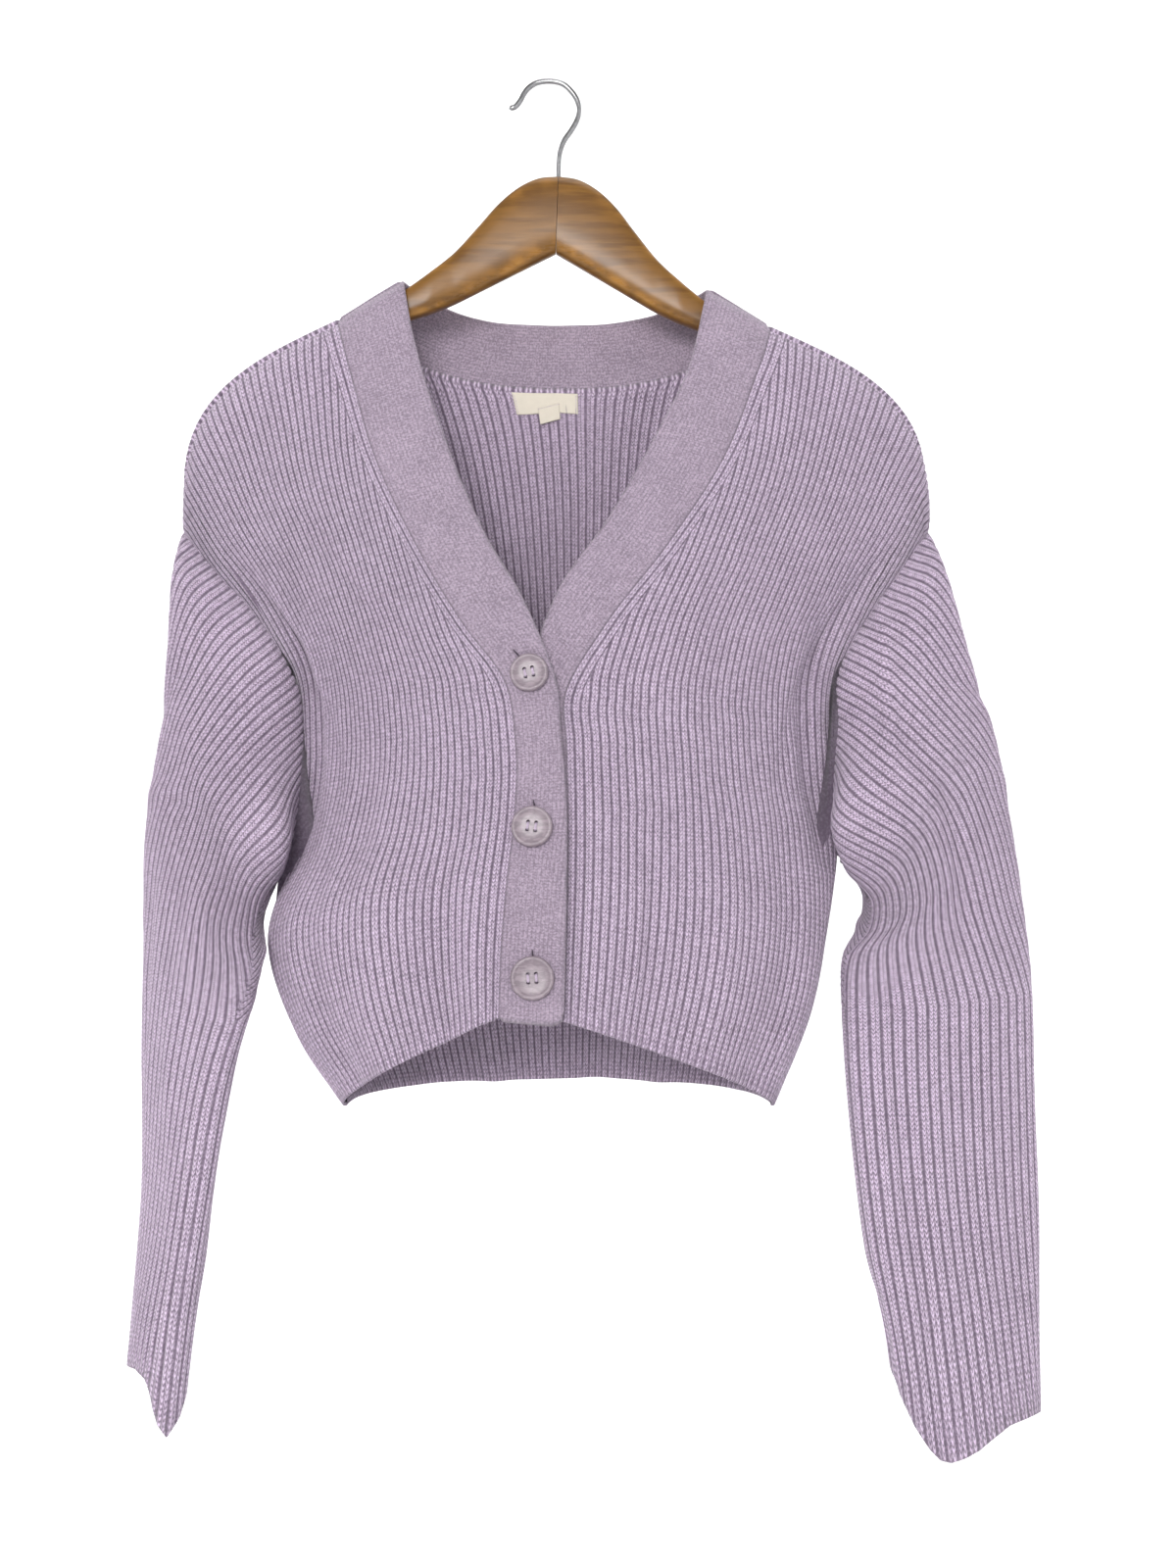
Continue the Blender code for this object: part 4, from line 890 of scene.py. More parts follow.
def front_panel(name, courses, folds, creases, outward, seed, look, material):
    """One front: ribs run up from the hem, and the inner ones end along the V."""
    levels = np.linspace(0, 1, PANEL_LEVELS)
    shares = np.linspace(0, 1, FRONT_SHARES)
    grid = pressed(front_grid(courses, folds, levels, shares, outward))
    normals = normals_of(grid) * outward
    above = ease(RIBS_JOIN, RIBS_JOIN + 0.06, levels)[:, None, None]
    normals[:, -EVENED:] += (normals[:, -EVENED - 1:-EVENED] - normals[:, -EVENED:]) * above
    surface = Surface(grid, normals, levels, shares)
    lost, hem_run, top_run = FRONT_RIBS
    across = columns_between(0, top_run - COLUMN, 0, top_run - hem_run)
    end = np.where(across < lost, V_START + (1 - V_START) * across / lost, 1.0)
    start = rib_start(across)
    level = start + (end - start) * np.linspace(0, 1, ROWS + 1)[:, None]
    inner = lost * np.clip((level - V_START) / (1 - V_START), 0, 1)
    outer = run_out(level)
    run = np.broadcast_to(across, level.shape)
    share = np.clip((run - inner) / (outer - inner), 0, 1)
    points, normals = surface.at(level, share)
    up = level * PANEL_RISE
    seam = np.minimum(np.minimum(run - inner, outer - run), (1 - level) * PANEL_RISE)
    return knit_shell(name, points, normals, outward, run, up, np.maximum(seam, 0), HEM_EDGE,
                      creases, seed, look, material, margin=run - inner)


def back_panel(look, material):
    """The back: ribs run straight up from the hem to the shoulders and the neck."""
    levels = np.linspace(0, 1, PANEL_LEVELS)
    shares = np.linspace(-1, 1, BACK_SHARES)
    grid = back_grid(levels, shares)
    surface = Surface(grid, normals_of(grid) * -1, levels, shares)
    _, hem_run, top_run = FRONT_RIBS
    across = columns_between(COLUMN - top_run, top_run - COLUMN, top_run - hem_run,
                             top_run - hem_run)
    start = rib_start(np.abs(across))
    level = start + (1 - start) * np.linspace(0, 1, BACK_ROWS + 1)[:, None]
    outer = run_out(level)
    run = np.broadcast_to(across, level.shape)
    points, normals = surface.at(level, np.clip(run / outer, -1, 1))
    up = level * PANEL_RISE
    seam = np.maximum(np.minimum(outer - np.abs(run), (1 - level) * PANEL_RISE), 0)
    return knit_shell("knit_back", points, normals, -1, run, up, seam, HEM_EDGE,
                      BACK_CREASES, 5, look, material)


def sleeve_panel(name, rings, courses, folds, lobes, cuff, creases, outward, seed, look,
                 material):
    """A sleeve: ribs run to the cuff, and those beside the underarm end along its seam."""
    levels = np.linspace(0, 1, PANEL_LEVELS)
    along = np.linspace(0, 1, SLEEVE_LEVELS)
    shares = np.linspace(0, 1, SLEEVE_SHARES)
    grid = pressed(sleeve_grid(rings, courses, folds, lobes, cuff, outward, levels, along, shares))
    normals = normals_of(grid, closed=True) * outward
    normals[:, -1] = normals[:, 0]
    surface = Surface(grid, normals, along, shares)
    wide, narrow = SLEEVE_RIBS
    shift = SLEEVE_SHIFT[outward]
    across = np.arange(COLUMN - wide, wide, COLUMN)
    level = np.linspace(0, 1, ROWS + 1)[:, None] * np.ones_like(across)
    settled = np.minimum(level / SLEEVE_SETTLES, 1)
    half = wide - (wide - narrow) * settled
    place = across - shift * settled
    over = np.maximum(np.abs(place) - (half - SEAM_CROWD), 0)
    crowded = half - SEAM_CROWD * CROWD_REACH / (over + CROWD_REACH)
    place = np.where(over > 0, np.sign(place) * crowded, place)
    run = place + shift * settled
    points, normals = surface.at(level, (place / (2 * half)) % 1.0)
    up = (1 - level) * SLEEVE_RISE
    seam = np.minimum(level * SLEEVE_RISE, np.maximum(half - np.abs(place), 0))
    return knit_shell(name, points, normals, outward, run, up, seam, CUFF_EDGE, creases, seed,
                      look, material)


def band_strip(name, seam, edge, outward, wave, look, material, corner=0.0):
    """A stretch of the band: a smooth doubled strip, thinner at both its edges."""
    share = np.linspace(0, 1, 31)
    rows = len(seam)
    points = seam[:, None] + (edge - seam)[:, None] * share[None, :, None]
    normals = normals_of(points) * outward
    width = np.linalg.norm(edge - seam, axis=1)[:, None] * share[None, :]
    run = np.concatenate([[0], np.cumsum(np.linalg.norm(np.diff(
        (seam + edge) / 2, axis=0), axis=1))])[:, None]
    run = np.broadcast_to(run, width.shape)
    half = 1.45 * (1 - 0.42 * np.abs(2 * share - 1) ** 5)[None, :]
    crown = 0.5 * (1 - (2 * share - 1) ** 2)[None, :]
    height = crown + ripple(wave, width, run, 0.45) * np.sin(math.pi * share)[None, :] ** 0.5
    free = ease(0.8, 1.0, share)[None, :]
    height = height + 0.45 * free * np.sin(run / 9.0 + wave) * np.sin(run / 23.0)
    points = points + normals * height[..., None]
    if corner:
        rise = corner * np.clip((share - 0.8) / 0.2, 0, 1) ** 2
        points[..., 2] += rise[None, :] * np.exp(-run / (1.2 * corner))
    uv = np.stack([width / (look.wale_pitch / MM), run / (look.row_pitch / MM)], -1)
    edging = np.maximum(1 - ease(0, 3, width), 1 - ease(0, 3, width[:, -1:] - width))
    return add_shell(name, points, normals, np.broadcast_to(half, (rows, len(share))),
                     outward, material, uv, edging, lip=0.9)


def tube(points, radius, sides):
    """Points and faces of a round tube along a path in millimetres, capped at its ends."""
    points = np.asarray(points, float)
    tangents = np.gradient(points, axis=0)
    tangents /= np.linalg.norm(tangents, axis=1, keepdims=True)
    side = np.cross(tangents[0], (0.31, 0.87, 0.38))
    rings = []
    angle = np.linspace(0, 2 * math.pi, sides + 1)[:-1]
    radius = np.broadcast_to(radius, len(points))
    for point, tangent, size in zip(points, tangents, radius):
        side = side - tangent * (side @ tangent)
        side /= np.linalg.norm(side)
        across = np.cross(tangent, side)
        rings.append(point + size * (np.cos(angle)[:, None] * side
                                     + np.sin(angle)[:, None] * across))
    faces = []
    for i in range(len(rings) - 1):
        for j in range(sides):
            m = (j + 1) % sides
            faces.append((i * sides + j, i * sides + m, (i + 1) * sides + m, (i + 1) * sides + j))
    faces.append(tuple(range(sides))[::-1])
    faces.append(tuple(range((len(rings) - 1) * sides, len(rings) * sides)))
    return np.concatenate(rings), faces


def joined(parts):
    """Several lists of points and faces as one."""
    points = []
    faces = []
    start = 0
    for some_points, some_faces in parts:
        points.append(some_points)
        faces += [tuple(start + corner for corner in face) for face in some_faces]
        start += len(some_points)
    return np.concatenate(points), faces


class Value:
    """A shader socket that takes part in Python expressions."""

    def __init__(self, finish, socket):
        self.finish = finish
        self.socket = socket

    def maths(self, operation, *others):
        """This value put through a maths node, with any others after it."""
        values = dict(enumerate((self,) + others))
        return self.finish.node("ShaderNodeMath", {"operation": operation}, values)

    def __add__(self, other):
        return self.maths("ADD", other)

    def __sub__(self, other):
        return self.maths("SUBTRACT", other)

    def __rsub__(self, other):
        return self * -1 + other

    def __mul__(self, other):
        return self.maths("MULTIPLY", other)

    def __truediv__(self, other):
        return self.maths("DIVIDE", other)

    def __mod__(self, other):
        return self.maths("FLOORED_MODULO", other)

    def __abs__(self):
        return self.maths("ABSOLUTE")

    __radd__ = __add__
    __rmul__ = __mul__

    def sine(self):
        return self.maths("SINE")

    def step(self, low, high):
        """0 below low, 1 above high, smooth between."""
        settings = {"interpolation_type": "SMOOTHSTEP"}
        return self.finish.node("ShaderNodeMapRange", settings,
                                {"Value": self, "From Min": low, "From Max": high})


class Finish:
    """A material that is built from expressions."""

    def __init__(self, name, **constants):
        self.material = bpy.data.materials.new(name)
        self.material.use_nodes = True
        self.tree = self.material.node_tree
        self.shader = self.tree.nodes["Principled BSDF"]
        for key, value in constants.items():
            self.shader.inputs[key.replace("_", " ")].default_value = value

    def node(self, kind, settings, values, output=0):
        """Any node: its settings first, then the values or links of its sockets."""
        node = self.tree.nodes.new(kind)
        for key, value in settings.items():
            if key == "stops":
                ramp = node.color_ramp.elements
                while len(ramp) < len(value):
                    ramp.new(0.5)
                for element, (place, colour) in zip(ramp, value):
                    element.position = place
                    element.color = colour
            else:
                setattr(node, key, value)
        for key, value in values.items():
            if isinstance(value, Value):
                self.tree.links.new(value.socket, node.inputs[key])
            else:
                node.inputs[key].default_value = value
        return Value(self, node.outputs[output])

    def feed(self, socket, value):
        """Links a value to a socket of the material's shader."""
        self.tree.links.new(value.socket, self.shader.inputs[socket])

    def uv(self):
        """The piece's own two knit coordinates."""
        coordinates = self.node("ShaderNodeUVMap", {"uv_map": "knit"}, {})
        self.node("ShaderNodeSeparateXYZ", {}, {"Vector": coordinates})
        split = self.tree.nodes[-1]
        return Value(self, split.outputs["X"]), Value(self, split.outputs["Y"])

    def attribute(self, name):
        return self.node("ShaderNodeAttribute", {"attribute_name": name}, {}, "Fac")

    def place(self):
        return self.node("ShaderNodeTexCoord", {}, {}, "Object")

    def noise(self, scale, detail=2.0, vector=None, roughness=0.5):
        """Noise over the object's own coordinates, or over the vector that is given."""
        values = {"Scale": scale, "Detail": detail, "Roughness": roughness}
        values["Vector"] = vector or self.place()
        return self.node("ShaderNodeTexNoise", {}, values, "Fac")

    def mix(self, share, first, second):
        """A colour between two, as share goes from 0 to 1."""
        return self.node("ShaderNodeMix", {"data_type": "RGBA"}, {0: share, 6: first, 7: second}, 2)

    def bump(self, height, strength, distance):
        normal = self.node("ShaderNodeBump", {}, {
            "Height": height, "Strength": strength, "Distance": distance}, "Normal")
        self.feed("Normal", normal)


def rgba(colour):
    return (*colour[:3], 1.0)


def rib_finish(look):
    """Two columns of V stitches to a rib, painted shade in the purl valleys, and a heathered yarn.
    """
    finish = Finish("lavender_rib", Roughness=0.95, Sheen_Weight=0.22, Sheen_Roughness=0.6,
                    Specular_IOR_Level=0.15)
    across, rows = finish.uv()
    edge = finish.attribute("edge")
    margin = finish.attribute("margin")
    beside = 1 - margin.step(V_RIBS - 0.01, V_RIBS + 0.01)
    across = across * (1 - beside) + margin * beside
    away = abs(across % 1.0 - 0.5) * 2
    column = abs(away - 0.38) / 0.38
    fuzz = finish.noise(1400.0, 3.0)
    chevron = (rows - column * 0.8 + fuzz * 0.3) * (2 * math.pi)
    stitch = chevron.sine() * 0.5 + 0.5
    legs = 1 - column.step(0.70, 1.0)
    valley = (away + (stitch - 0.5) * 0.14 + (fuzz - 0.5) * 0.25).step(0.56, 0.98)
    valley = valley * (1 - edge * 0.5)
    split = 1 - away.step(0.0, 0.16)
    fine_valley = (across * (4 * math.pi)).sine() * 0.5 + 0.5
    height = stitch * legs * 0.6 + (1 - valley) * 0.6 - split * 0.25
    height = height * (1 - edge * 0.5) + fine_valley * edge * 0.6
    flecks = finish.noise(560.0, 2.0).step(0.40, 0.64)
    slow = finish.noise(34.0, 3.0)
    finish.bump(height + fuzz * 0.35, 0.9, 0.0010)
    # Painted light and shade: the V stitches' legs are lighter where they catch light, and the tone
    # sinks as painted shade in the purl valleys, in the split between a rib's two columns and in
    # the fine valleys of the hem and cuff. The flecks and slow patches are the heathered yarn's own
    # tones.
    tone = stitch * legs * 0.66 + flecks * 0.28 + slow * 0.16 + 0.12
    tone = tone * (1 - valley * 0.70) * (1 - split * 0.30) * (1 - edge * fine_valley * 0.45)
    colour = finish.mix(tone, rgba(look.yarn_dark_and_shade), rgba(look.yarn_light))
    finish.feed("Base Color", colour)
    return finish.material


def band_finish(look):
    """A smooth fine knit with lengthwise wales, greyer and more heathered than the rib."""
    finish = Finish("lavender_band", Roughness=0.92, Sheen_Weight=0.2, Sheen_Roughness=0.6,
                    Specular_IOR_Level=0.15)
    across, rows = finish.uv()
    edge = finish.attribute("edge")
    away = abs(across % 1.0 - 0.5) * 2
    stitch = ((rows * 1.5 - away * 0.4) * (2 * math.pi)).sine() * 0.5 + 0.5
    groove = away.step(0.6, 1.0)
    fuzz = finish.noise(1500.0, 3.0)
    flecks = finish.noise(760.0, 2.0).step(0.36, 0.68)
    slow = finish.noise(46.0, 3.0)
    finish.bump((1 - groove) * 0.6 + stitch * 0.25 + fuzz * 0.4, 0.6, 0.0005)
    # The stitches' lighter crowns are painted light, and the tone sinks as painted shade in the
    # grooves between wales and along both edges of the strip, at its seam and its rolled free edge.
    # The flecks and slow patches are the yarn's own heather.
    tone = flecks * 0.36 + slow * 0.24 + stitch * 0.12 + 0.24
    tone = tone * (1 - groove * 0.30) * (1 - edge * 0.12)
    finish.feed("Base Color", finish.mix(tone, rgba(look.band_dark_and_shade), rgba(look.band_light)))
    return finish.material


def label_finish(look):
    """Cream woven tape: a fine over-and-under weave, a little duller in uneven patches."""
    finish = Finish("cream_tape", Roughness=0.7, Sheen_Weight=0.15, Specular_IOR_Level=0.3)
    across, rows = finish.uv()
    weave = (across * (2 * math.pi)).sine() * (rows * (2 * math.pi)).sine()
    slow = finish.noise(220.0, 3.0)
    finish.bump(weave * 0.5 + slow * 0.3, 0.5, 0.0002)
    tone = weave * 0.12 + slow * 0.5 + 0.22
    dull = tuple(part * 0.78 for part in look.label_colour)
    finish.feed("Base Color", finish.mix(tone, rgba(dull), rgba(look.label_colour)))
    return finish.material


def button_finish(look):
    """Marbled mauve-grey, clouded like shell, with a clear gloss."""
    finish = Finish("marbled_button", Roughness=0.42, Coat_Weight=0.15, Coat_Roughness=0.15)
    swirl = finish.noise(70.0, 3.0)
    warp = finish.node("ShaderNodeVectorMath", {"operation": "MULTIPLY"},
                       {0: finish.place(), 1: (1.0, 1.0, 2.6)})
    clouds = finish.noise(120.0, 4.0, warp, 0.6)
    veins = abs(clouds + swirl * 0.5 - 0.75).step(0.0, 0.12)
    tone = clouds * 0.75 + veins * 0.3 - 0.05
    finish.feed("Base Color", finish.mix(
        tone, rgba(look.button_dark), rgba(look.button_light)))
    finish.bump(finish.noise(900.0, 2.0), 0.08, 0.0002)
    return finish.material


def thread_finish(look):
    """Sewing thread in the knitting's own tones, on buttons and label."""
    finish = Finish("pale_thread", Roughness=0.6, Sheen_Weight=0.2)
    twist = finish.noise(3000.0, 2.0)
    finish.feed("Base Color", finish.mix(twist, rgba(look.band_dark_and_shade), rgba(look.yarn_light)))
    return finish.material


def yarn_finish(look):
    """The garment's own yarn, in the stitches round a buttonhole."""
    finish = Finish("linking_yarn", Roughness=0.95, Sheen_Weight=0.2)
    twist = finish.noise(1800.0, 2.0)
    finish.feed("Base Color", finish.mix(twist, rgba(look.yarn_dark_and_shade), rgba(look.band_light)))
    return finish.material


def wood_finish(name, slope, look):
    """Brown lacquered wood, its grain along the arm, paler along its edges: partly rubbed wear and
    partly a painted highlight, strongest along the lower edges.
    """
    finish = Finish(name, Coat_Weight=0.12, Coat_Roughness=0.2, Specular_IOR_Level=0.28)
    turned = finish.node("ShaderNodeMapping", {}, {
        "Vector": finish.place(), "Rotation": (0.0, math.radians(slope), 0.0),
        "Scale": (7.0, 60.0, 95.0)}, "Vector")
    grain = finish.noise(1.0, 5.0, turned, 0.62)
    fine = finish.node("ShaderNodeMapping", {}, {
        "Vector": finish.place(), "Rotation": (0.0, math.radians(slope), 0.0),
        "Scale": (40.0, 700.0, 700.0)}, "Vector")
    pores = finish.noise(1.0, 2.0, fine)
    rings = ((grain * 26.0).sine() * 0.5 + 0.5)
    wear = finish.attribute("wear")
    patchy = finish.noise(60.0, 3.0).step(0.35, 0.65)
    tone = rings * 0.34 + grain * 0.5 + pores * 0.16
    colour = finish.mix(tone, rgba(look.wood_dark), rgba(look.wood_light))
    pale = tuple(min(1.0, part * 1.7) for part in look.wood_light)
    # Paler along the edges: rubbed wear and a painted highlight together, most on the lower edges.
    colour = finish.mix(wear * patchy * 0.75, colour, rgba(pale))
    finish.feed("Base Color", colour)
    finish.feed("Roughness", 0.30 + pores * 0.10 - wear * 0.08)
    finish.bump(pores * 0.6 + rings * 0.4, 0.12, 0.0004)
    return finish.material


def chrome_finish():
    """Chromed wire with fine scuffs."""
    finish = Finish("chromed_wire", Metallic=1.0, Specular_IOR_Level=0.5)
    scuffs = finish.noise(500.0, 4.0)
    finish.feed("Base Color", finish.mix(scuffs, (0.16, 0.16, 0.17, 1), (0.42, 0.42, 0.43, 1)))
    finish.feed("Roughness", scuffs * 0.18 + 0.10)
    return finish.material


def stage_finish():
    """Matt pale paper."""
    finish = Finish("pale_paper", Roughness=0.9, Specular_IOR_Level=0.1)
    haze = finish.noise(1.5, 1.0)
    finish.feed("Base Color", finish.mix(haze, (0.90, 0.90, 0.90, 1), (0.93, 0.93, 0.93, 1)))
    return finish.material


def material_of(name, make, look):
    """A material that several pieces share, made once."""
    return bpy.data.materials.get(name) or make(look)


def stitch_tree():
    """Geometry Nodes: capsule stitches along a path, with a seeded unevenness."""
    tree = bpy.data.node_groups.get("stitches_along_a_path")
    if tree:
        return tree
    tree = bpy.data.node_groups.new("stitches_along_a_path", "GeometryNodeTree")
    sockets = tree.interface
    sockets.new_socket("Path", in_out="INPUT", socket_type="NodeSocketGeometry")
    for label, start in (("Pitch", 0.002), ("Length", 0.001), ("Thickness", 0.0004),
                         ("Unevenness", 0.15)):
        socket = sockets.new_socket(label, in_out="INPUT", socket_type="NodeSocketFloat")
        socket.default_value = start
    sockets.new_socket("Seed", in_out="INPUT", socket_type="NodeSocketInt")
    sockets.new_socket("Yarn", in_out="INPUT", socket_type="NodeSocketMaterial")
    sockets.new_socket("Stitches", in_out="OUTPUT", socket_type="NodeSocketGeometry")
    nodes = tree.nodes
    link = tree.links.new
    given = nodes.new("NodeGroupInput").outputs
    curve = nodes.new("GeometryNodeMeshToCurve")
    even = nodes.new("GeometryNodeResampleCurve")
    even.mode = "LENGTH"
    tangent = nodes.new("GeometryNodeInputTangent")
    turn = nodes.new("FunctionNodeAlignRotationToVector")
    turn.axis = "X"
    ball = nodes.new("GeometryNodeMeshUVSphere")
    ball.inputs["Segments"].default_value = 8
    ball.inputs["Rings"].default_value = 5
    ball.inputs["Radius"].default_value = 1.0
    size = nodes.new("ShaderNodeCombineXYZ")
    chance = nodes.new("FunctionNodeRandomValue")
    chance.data_type = "FLOAT"
    least = nodes.new("ShaderNodeMath")
    least.operation = "SUBTRACT"
    least.inputs[0].default_value = 1.0
    most = nodes.new("ShaderNodeMath")
    most.operation = "ADD"
    most.inputs[0].default_value = 1.0
    varied = nodes.new("ShaderNodeVectorMath")
    varied.operation = "SCALE"
    place = nodes.new("GeometryNodeInstanceOnPoints")
    real = nodes.new("GeometryNodeRealizeInstances")
    shade = nodes.new("GeometryNodeSetShadeSmooth")
    paint = nodes.new("GeometryNodeSetMaterial")
    link(given["Path"], curve.inputs["Mesh"])
    link(curve.outputs["Curve"], even.inputs["Curve"])
    link(given["Pitch"], even.inputs["Length"])
    link(tangent.outputs["Tangent"], turn.inputs["Vector"])
    link(given["Length"], size.inputs["X"])
    link(given["Thickness"], size.inputs["Y"])
    link(given["Thickness"], size.inputs["Z"])
    link(given["Unevenness"], least.inputs[1])
    link(given["Unevenness"], most.inputs[1])
    link(least.outputs[0], chance.inputs[2])
    link(most.outputs[0], chance.inputs[3])
    link(given["Seed"], chance.inputs["Seed"])
    link(size.outputs[0], varied.inputs[0])
    link(chance.outputs[1], varied.inputs["Scale"])
    link(even.outputs["Curve"], place.inputs["Points"])
    link(ball.outputs["Mesh"], place.inputs["Instance"])
    link(turn.outputs["Rotation"], place.inputs["Rotation"])
    link(varied.outputs[0], place.inputs["Scale"])
    link(place.outputs["Instances"], real.inputs["Geometry"])
    link(real.outputs["Geometry"], shade.inputs["Geometry"])
    link(shade.outputs["Geometry"], paint.inputs["Geometry"])
    link(given["Yarn"], paint.inputs["Material"])
    link(paint.outputs["Geometry"], nodes.new("NodeGroupOutput").inputs["Stitches"])
    return tree


def stitches(name, paths, material, slot, seed, **sizes):
    """Stitches along one or more paths in millimetres, as one plain mesh."""
    points = []
    edges = []
    for path in paths:
        start = len(points)
        points += [tuple(point) for point in np.asarray(path) * MM]
        edges += [(start + k, start + k + 1) for k in range(len(path) - 1)]
    mesh = bpy.data.meshes.new(name + "_path")
    mesh.from_pydata(points, edges, [])
    thing = bpy.data.objects.new(name, mesh)
    bpy.context.scene.collection.objects.link(thing)
    maker = thing.modifiers.new("stitches", "NODES")
    maker.node_group = stitch_tree()
    given = {"Seed": seed, "Yarn": material}
    given.update({key.capitalize(): value for key, value in sizes.items()})
    for item in maker.node_group.interface.items_tree:
        if item.in_out == "INPUT" and item.name in given:
            maker[item.identifier] = given[item.name]
    thing.update_tag()
    ready = thing.evaluated_get(bpy.context.evaluated_depsgraph_get())
    made = bpy.data.meshes.new_from_object(ready)
    thing.modifiers.remove(maker)
    thing.data = made
    keep_piece(thing, slot)
    return thing


class CardiganLook(bpy.types.PropertyGroup):
    """Sizes and colours of the knitting, the trim and the hanger."""

    rib_pitch: bpy.props.FloatProperty(
        name="Rib pitch", description="From one purl valley to the next",
        default=0.005, unit="LENGTH")
    rib_depth: bpy.props.FloatProperty(
        name="Rib depth", description="From a rib's crown to its valley",
        default=0.0012, unit="LENGTH")
    row_pitch: bpy.props.FloatProperty(
        name="Row pitch", description="Height of one stitch", default=0.0024, unit="LENGTH")
    wale_pitch: bpy.props.FloatProperty(
        name="Wale pitch", description="Width of one stitch of the band",
        default=0.0023, unit="LENGTH")
    cloth_thick: bpy.props.FloatProperty(
        name="Cloth thickness", description="Thickness of the knitted wall",
        default=0.0016, unit="LENGTH")
    yarn_light: bpy.props.FloatVectorProperty(
        name="Yarn, light", description="The lavender yarn where it catches light",
        default=(0.76, 0.62, 0.81), size=3, subtype="COLOR", min=0, max=1)
    # The dark end of the yarn's tone, which also serves as the painted shade deep between stitches.
    yarn_dark_and_shade: bpy.props.FloatVectorProperty(
        name="Yarn, dark", description="The yarn deep between stitches",
        default=(0.10, 0.070, 0.112), size=3, subtype="COLOR", min=0, max=1)
    band_light: bpy.props.FloatVectorProperty(
        name="Band, light", description="The band's paler flecks",
        default=(0.45, 0.368, 0.465), size=3, subtype="COLOR", min=0, max=1)
    # The dark end of the band's tone, which also serves as painted shade in its grooves and edges
    # and in the buttonhole slits.
    band_dark_and_shade: bpy.props.FloatVectorProperty(
        name="Band, dark", description="The band's darker flecks",
        default=(0.085, 0.066, 0.092), size=3, subtype="COLOR", min=0, max=1)
    label_colour: bpy.props.FloatVectorProperty(
        name="Label", description="Cream of the woven label and the sewing thread",
        default=(0.78, 0.72, 0.62), size=3, subtype="COLOR", min=0, max=1)
    button_light: bpy.props.FloatVectorProperty(
        name="Button, light", description="The buttons' pale clouds",
        default=(0.31, 0.255, 0.29), size=3, subtype="COLOR", min=0, max=1)
    button_dark: bpy.props.FloatVectorProperty(
        name="Button, dark", description="The buttons' deep clouds",
        default=(0.13, 0.10, 0.125), size=3, subtype="COLOR", min=0, max=1)
    wood_light: bpy.props.FloatVectorProperty(
        name="Wood, light", description="The hanger's pale grain",
        default=(0.235, 0.112, 0.024), size=3, subtype="COLOR", min=0, max=1)
    wood_dark: bpy.props.FloatVectorProperty(
        name="Wood, dark", description="The hanger's dark grain",
        default=(0.075, 0.030, 0.006), size=3, subtype="COLOR", min=0, max=1)


def keep_knitting(thing, node):
    """Keeps a rib-knit panel in place of its CAD node."""
    keep_piece(thing, "rib_knit", node)


class CARDIGAN_OT_body(bpy.types.Operator):
    """Knits the two fronts and the back"""

    bl_idname = "cardigan.body"
    bl_label = "Fronts and back"

    def execute(self, context):
        look = context.scene.cardigan_look
        rib = material_of("lavender_rib", rib_finish, look)
        left = front_panel("knit_front_left", FRONT_LEFT_COURSES, LEFT_FOLDS,
                           FRONT_LEFT_CREASES, -1, 1, look, rib)
        right = front_panel("knit_front_right", FRONT_RIGHT_COURSES, RIGHT_FOLDS,
                            FRONT_RIGHT_CREASES, 1, 2, look, rib)
        back = back_panel(look, rib)
        keep_knitting(left, "front_left")
        keep_knitting(right, "front_right")
        keep_knitting(back, "back_panel")
        return {"FINISHED"}


class CARDIGAN_OT_sleeves(bpy.types.Operator):
    """Knits the two sleeves"""

    bl_idname = "cardigan.sleeves"
    bl_label = "Sleeves"

    def execute(self, context):
        look = context.scene.cardigan_look
        rib = material_of("lavender_rib", rib_finish, look)
        left = sleeve_panel("knit_sleeve_left", SLEEVE_LEFT_RINGS, FRONT_LEFT_COURSES,
                            SLEEVE_LEFT_FOLDS, SLEEVE_LEFT_LOBES, CUFF_LEFT,
                            SLEEVE_LEFT_CREASES, -1, 3, look, rib)
        right = sleeve_panel("knit_sleeve_right", SLEEVE_RIGHT_RINGS, FRONT_RIGHT_COURSES,
                             SLEEVE_RIGHT_FOLDS, SLEEVE_RIGHT_LOBES, CUFF_RIGHT,
                             SLEEVE_RIGHT_CREASES, 1, 4, look, rib)
        keep_knitting(left, "sleeve_left")
        keep_knitting(right, "sleeve_right")
        return {"FINISHED"}


